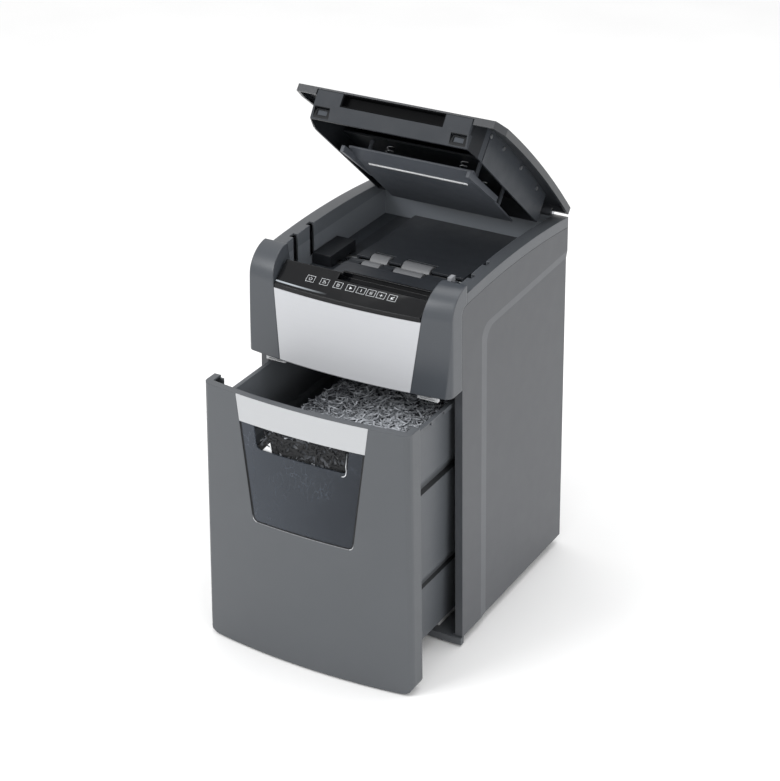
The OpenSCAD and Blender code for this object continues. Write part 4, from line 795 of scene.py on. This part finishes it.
# a dark ribbon as painted shade in the gap round the pane, and a light one as painted light on the lip of the
# opening
window_ribbon("window_gap_shade", 1.9, 1.5, 0.0012, [EDGE_SHADE] * len(window_line))
window_ribbon("window_lip_light", 0.35, 1.1, 0.0005, [t for *_, t in window_line])

# ------------------------------------------------------------------ springs of the pressure plate
# They take the places and the height of the CAD springs, which lie along the slide's direction.
push = Vector(joints["pressure_slide"]["axis"]).normalized()
across = push.cross(Vector((1, 0, 0))).normalized()
cad_points = [v.co for v in nodes["plate_springs"].data.vertices]
start, stop = min(p.dot(push) for p in cad_points), max(p.dot(push) for p in cad_points)
middle = sum(p.dot(across) for p in cad_points) / len(cad_points)
WIRE, COIL, TURNS, STEPS, SIDES = 0.0009, 0.005, 5, 24, 8  # WIRE and COIL are radii


def coil(x, w):
    """Closed spring about the line through x and w along push."""
    vs, fs = [], []
    rings = TURNS * STEPS + 1
    for i in range(rings):
        a = 2 * math.pi * i / STEPS
        out = Vector((1, 0, 0)) * math.cos(a) + across * math.sin(a)
        rise = start + WIRE + (stop - start - 2 * WIRE) * i / (rings - 1)
        mid = Vector((x, 0, 0)) + across * w + push * rise
        for k in range(SIDES):
            b = 2 * math.pi * k / SIDES
            vs.append(mid + out * (COIL + WIRE * math.cos(b)) + push * (WIRE * math.sin(b)))
    for i in range(rings - 1):
        for k in range(SIDES):
            a, b = i * SIDES + k, i * SIDES + (k + 1) % SIDES
            fs.append((a, b, b + SIDES, a + SIDES))
    fs += [tuple(range(SIDES - 1, -1, -1)), tuple(range((rings - 1) * SIDES, rings * SIDES))]
    return vs, fs


coils = []
for sx in (-1, 1):
    for sy in (-1, 1):
        own = [p for p in cad_points if p.x * sx > 0 and (p.dot(across) - middle) * sy > 0]
        coils.append(coil(sum(p.x for p in own) / len(own), sum(p.dot(across) for p in own) / len(own)))
springs = piece("plate_coils", *joined(coils), zinc, "lid", "zinc_steel", smooth=True)
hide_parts("plate_springs")
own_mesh(springs)

# ------------------------------------------------------------------ floor, light, camera
floor_m, nt, b = new_material("floor paint")
white = ramp(nt, noise(nt, coords(nt), 3, 2), [(0.3, (0.90, 0.90, 0.90)), (0.7, (0.93, 0.93, 0.93))])
link(nt, white, b.inputs["Base Color"])
b.inputs["Roughness"].default_value = 0.9
b.inputs["Specular IOR Level"].default_value = 0.1
FLOOR = 30
me = bpy.data.meshes.new("floor")
me.from_pydata([(-FLOOR, -FLOOR, 0), (FLOOR, -FLOOR, 0), (FLOOR, FLOOR, 0), (-FLOOR, FLOOR, 0)], [],
               [(0, 1, 2, 3)])
floor = bpy.data.objects.new("floor", me)
floor.data.materials.append(floor_m)
scene.collection.objects.link(floor)

world = bpy.data.worlds.new("studio")
scene.world = world
world.use_nodes = True
world.node_tree.nodes["Background"].inputs["Color"].default_value = (1, 1, 1, 1)
world.node_tree.nodes["Background"].inputs["Strength"].default_value = 0.9


def area(name, place, target, size, power):
    """Square area light at place, turned to target."""
    li = bpy.data.lights.new(name, "AREA")
    li.shape = "RECTANGLE"
    li.size = li.size_y = size
    li.energy = power
    o = bpy.data.objects.new(name, li)
    o.location = place
    o.rotation_mode = "QUATERNION"
    o.rotation_quaternion = (Vector(target) - Vector(place)).to_track_quat("-Z", "Y")
    scene.collection.objects.link(o)


area("key", (-1.6, -2.4, 2.6), (0, 0, 0.35), 1.6, 60)
area("fill", (2.6, -1.1, 0.6), (0, 0, 0.25), 1.8, 26)
area("top", (0.2, 0.3, 3.0), (0, 0, 0.3), 2.2, 30)

# The camera was fitted to the edges of the cabinet in the photo: its direction, its distance, the lens, and
# how far it aims to the right of and over a point of the cabinet's front.
AZIMUTH, ELEVATION = math.radians(29.52), math.radians(27.49)
DISTANCE, LENS_MM, SENSOR_MM = 3.0808, 98.7151, 36
FRONT_Z, AIM_RIGHT, AIM_UP = 0.330, 0.04322, 0.04472
back = Vector((math.sin(AZIMUTH) * math.cos(ELEVATION), -math.cos(AZIMUTH) * math.cos(ELEVATION),
               math.sin(ELEVATION)))
right = Vector((math.cos(AZIMUTH), math.sin(AZIMUTH), 0))
up = back.cross(right)
cam = bpy.data.cameras.new("camera")
cam.sensor_width = SENSOR_MM
cam.lens = LENS_MM
cam.clip_start, cam.clip_end = 0.1, 100
camera = bpy.data.objects.new("camera", cam)
camera.matrix_world = Matrix(((right.x, up.x, back.x, 0), (right.y, up.y, back.y, 0),
                              (right.z, up.z, back.z, 0), (0, 0, 0, 1)))
camera.location = Vector((0, -CABINET_Y, FRONT_Z)) + right * AIM_RIGHT + up * AIM_UP + back * DISTANCE
scene.collection.objects.link(camera)
scene.camera = camera
scene.view_settings.view_transform = "Standard"
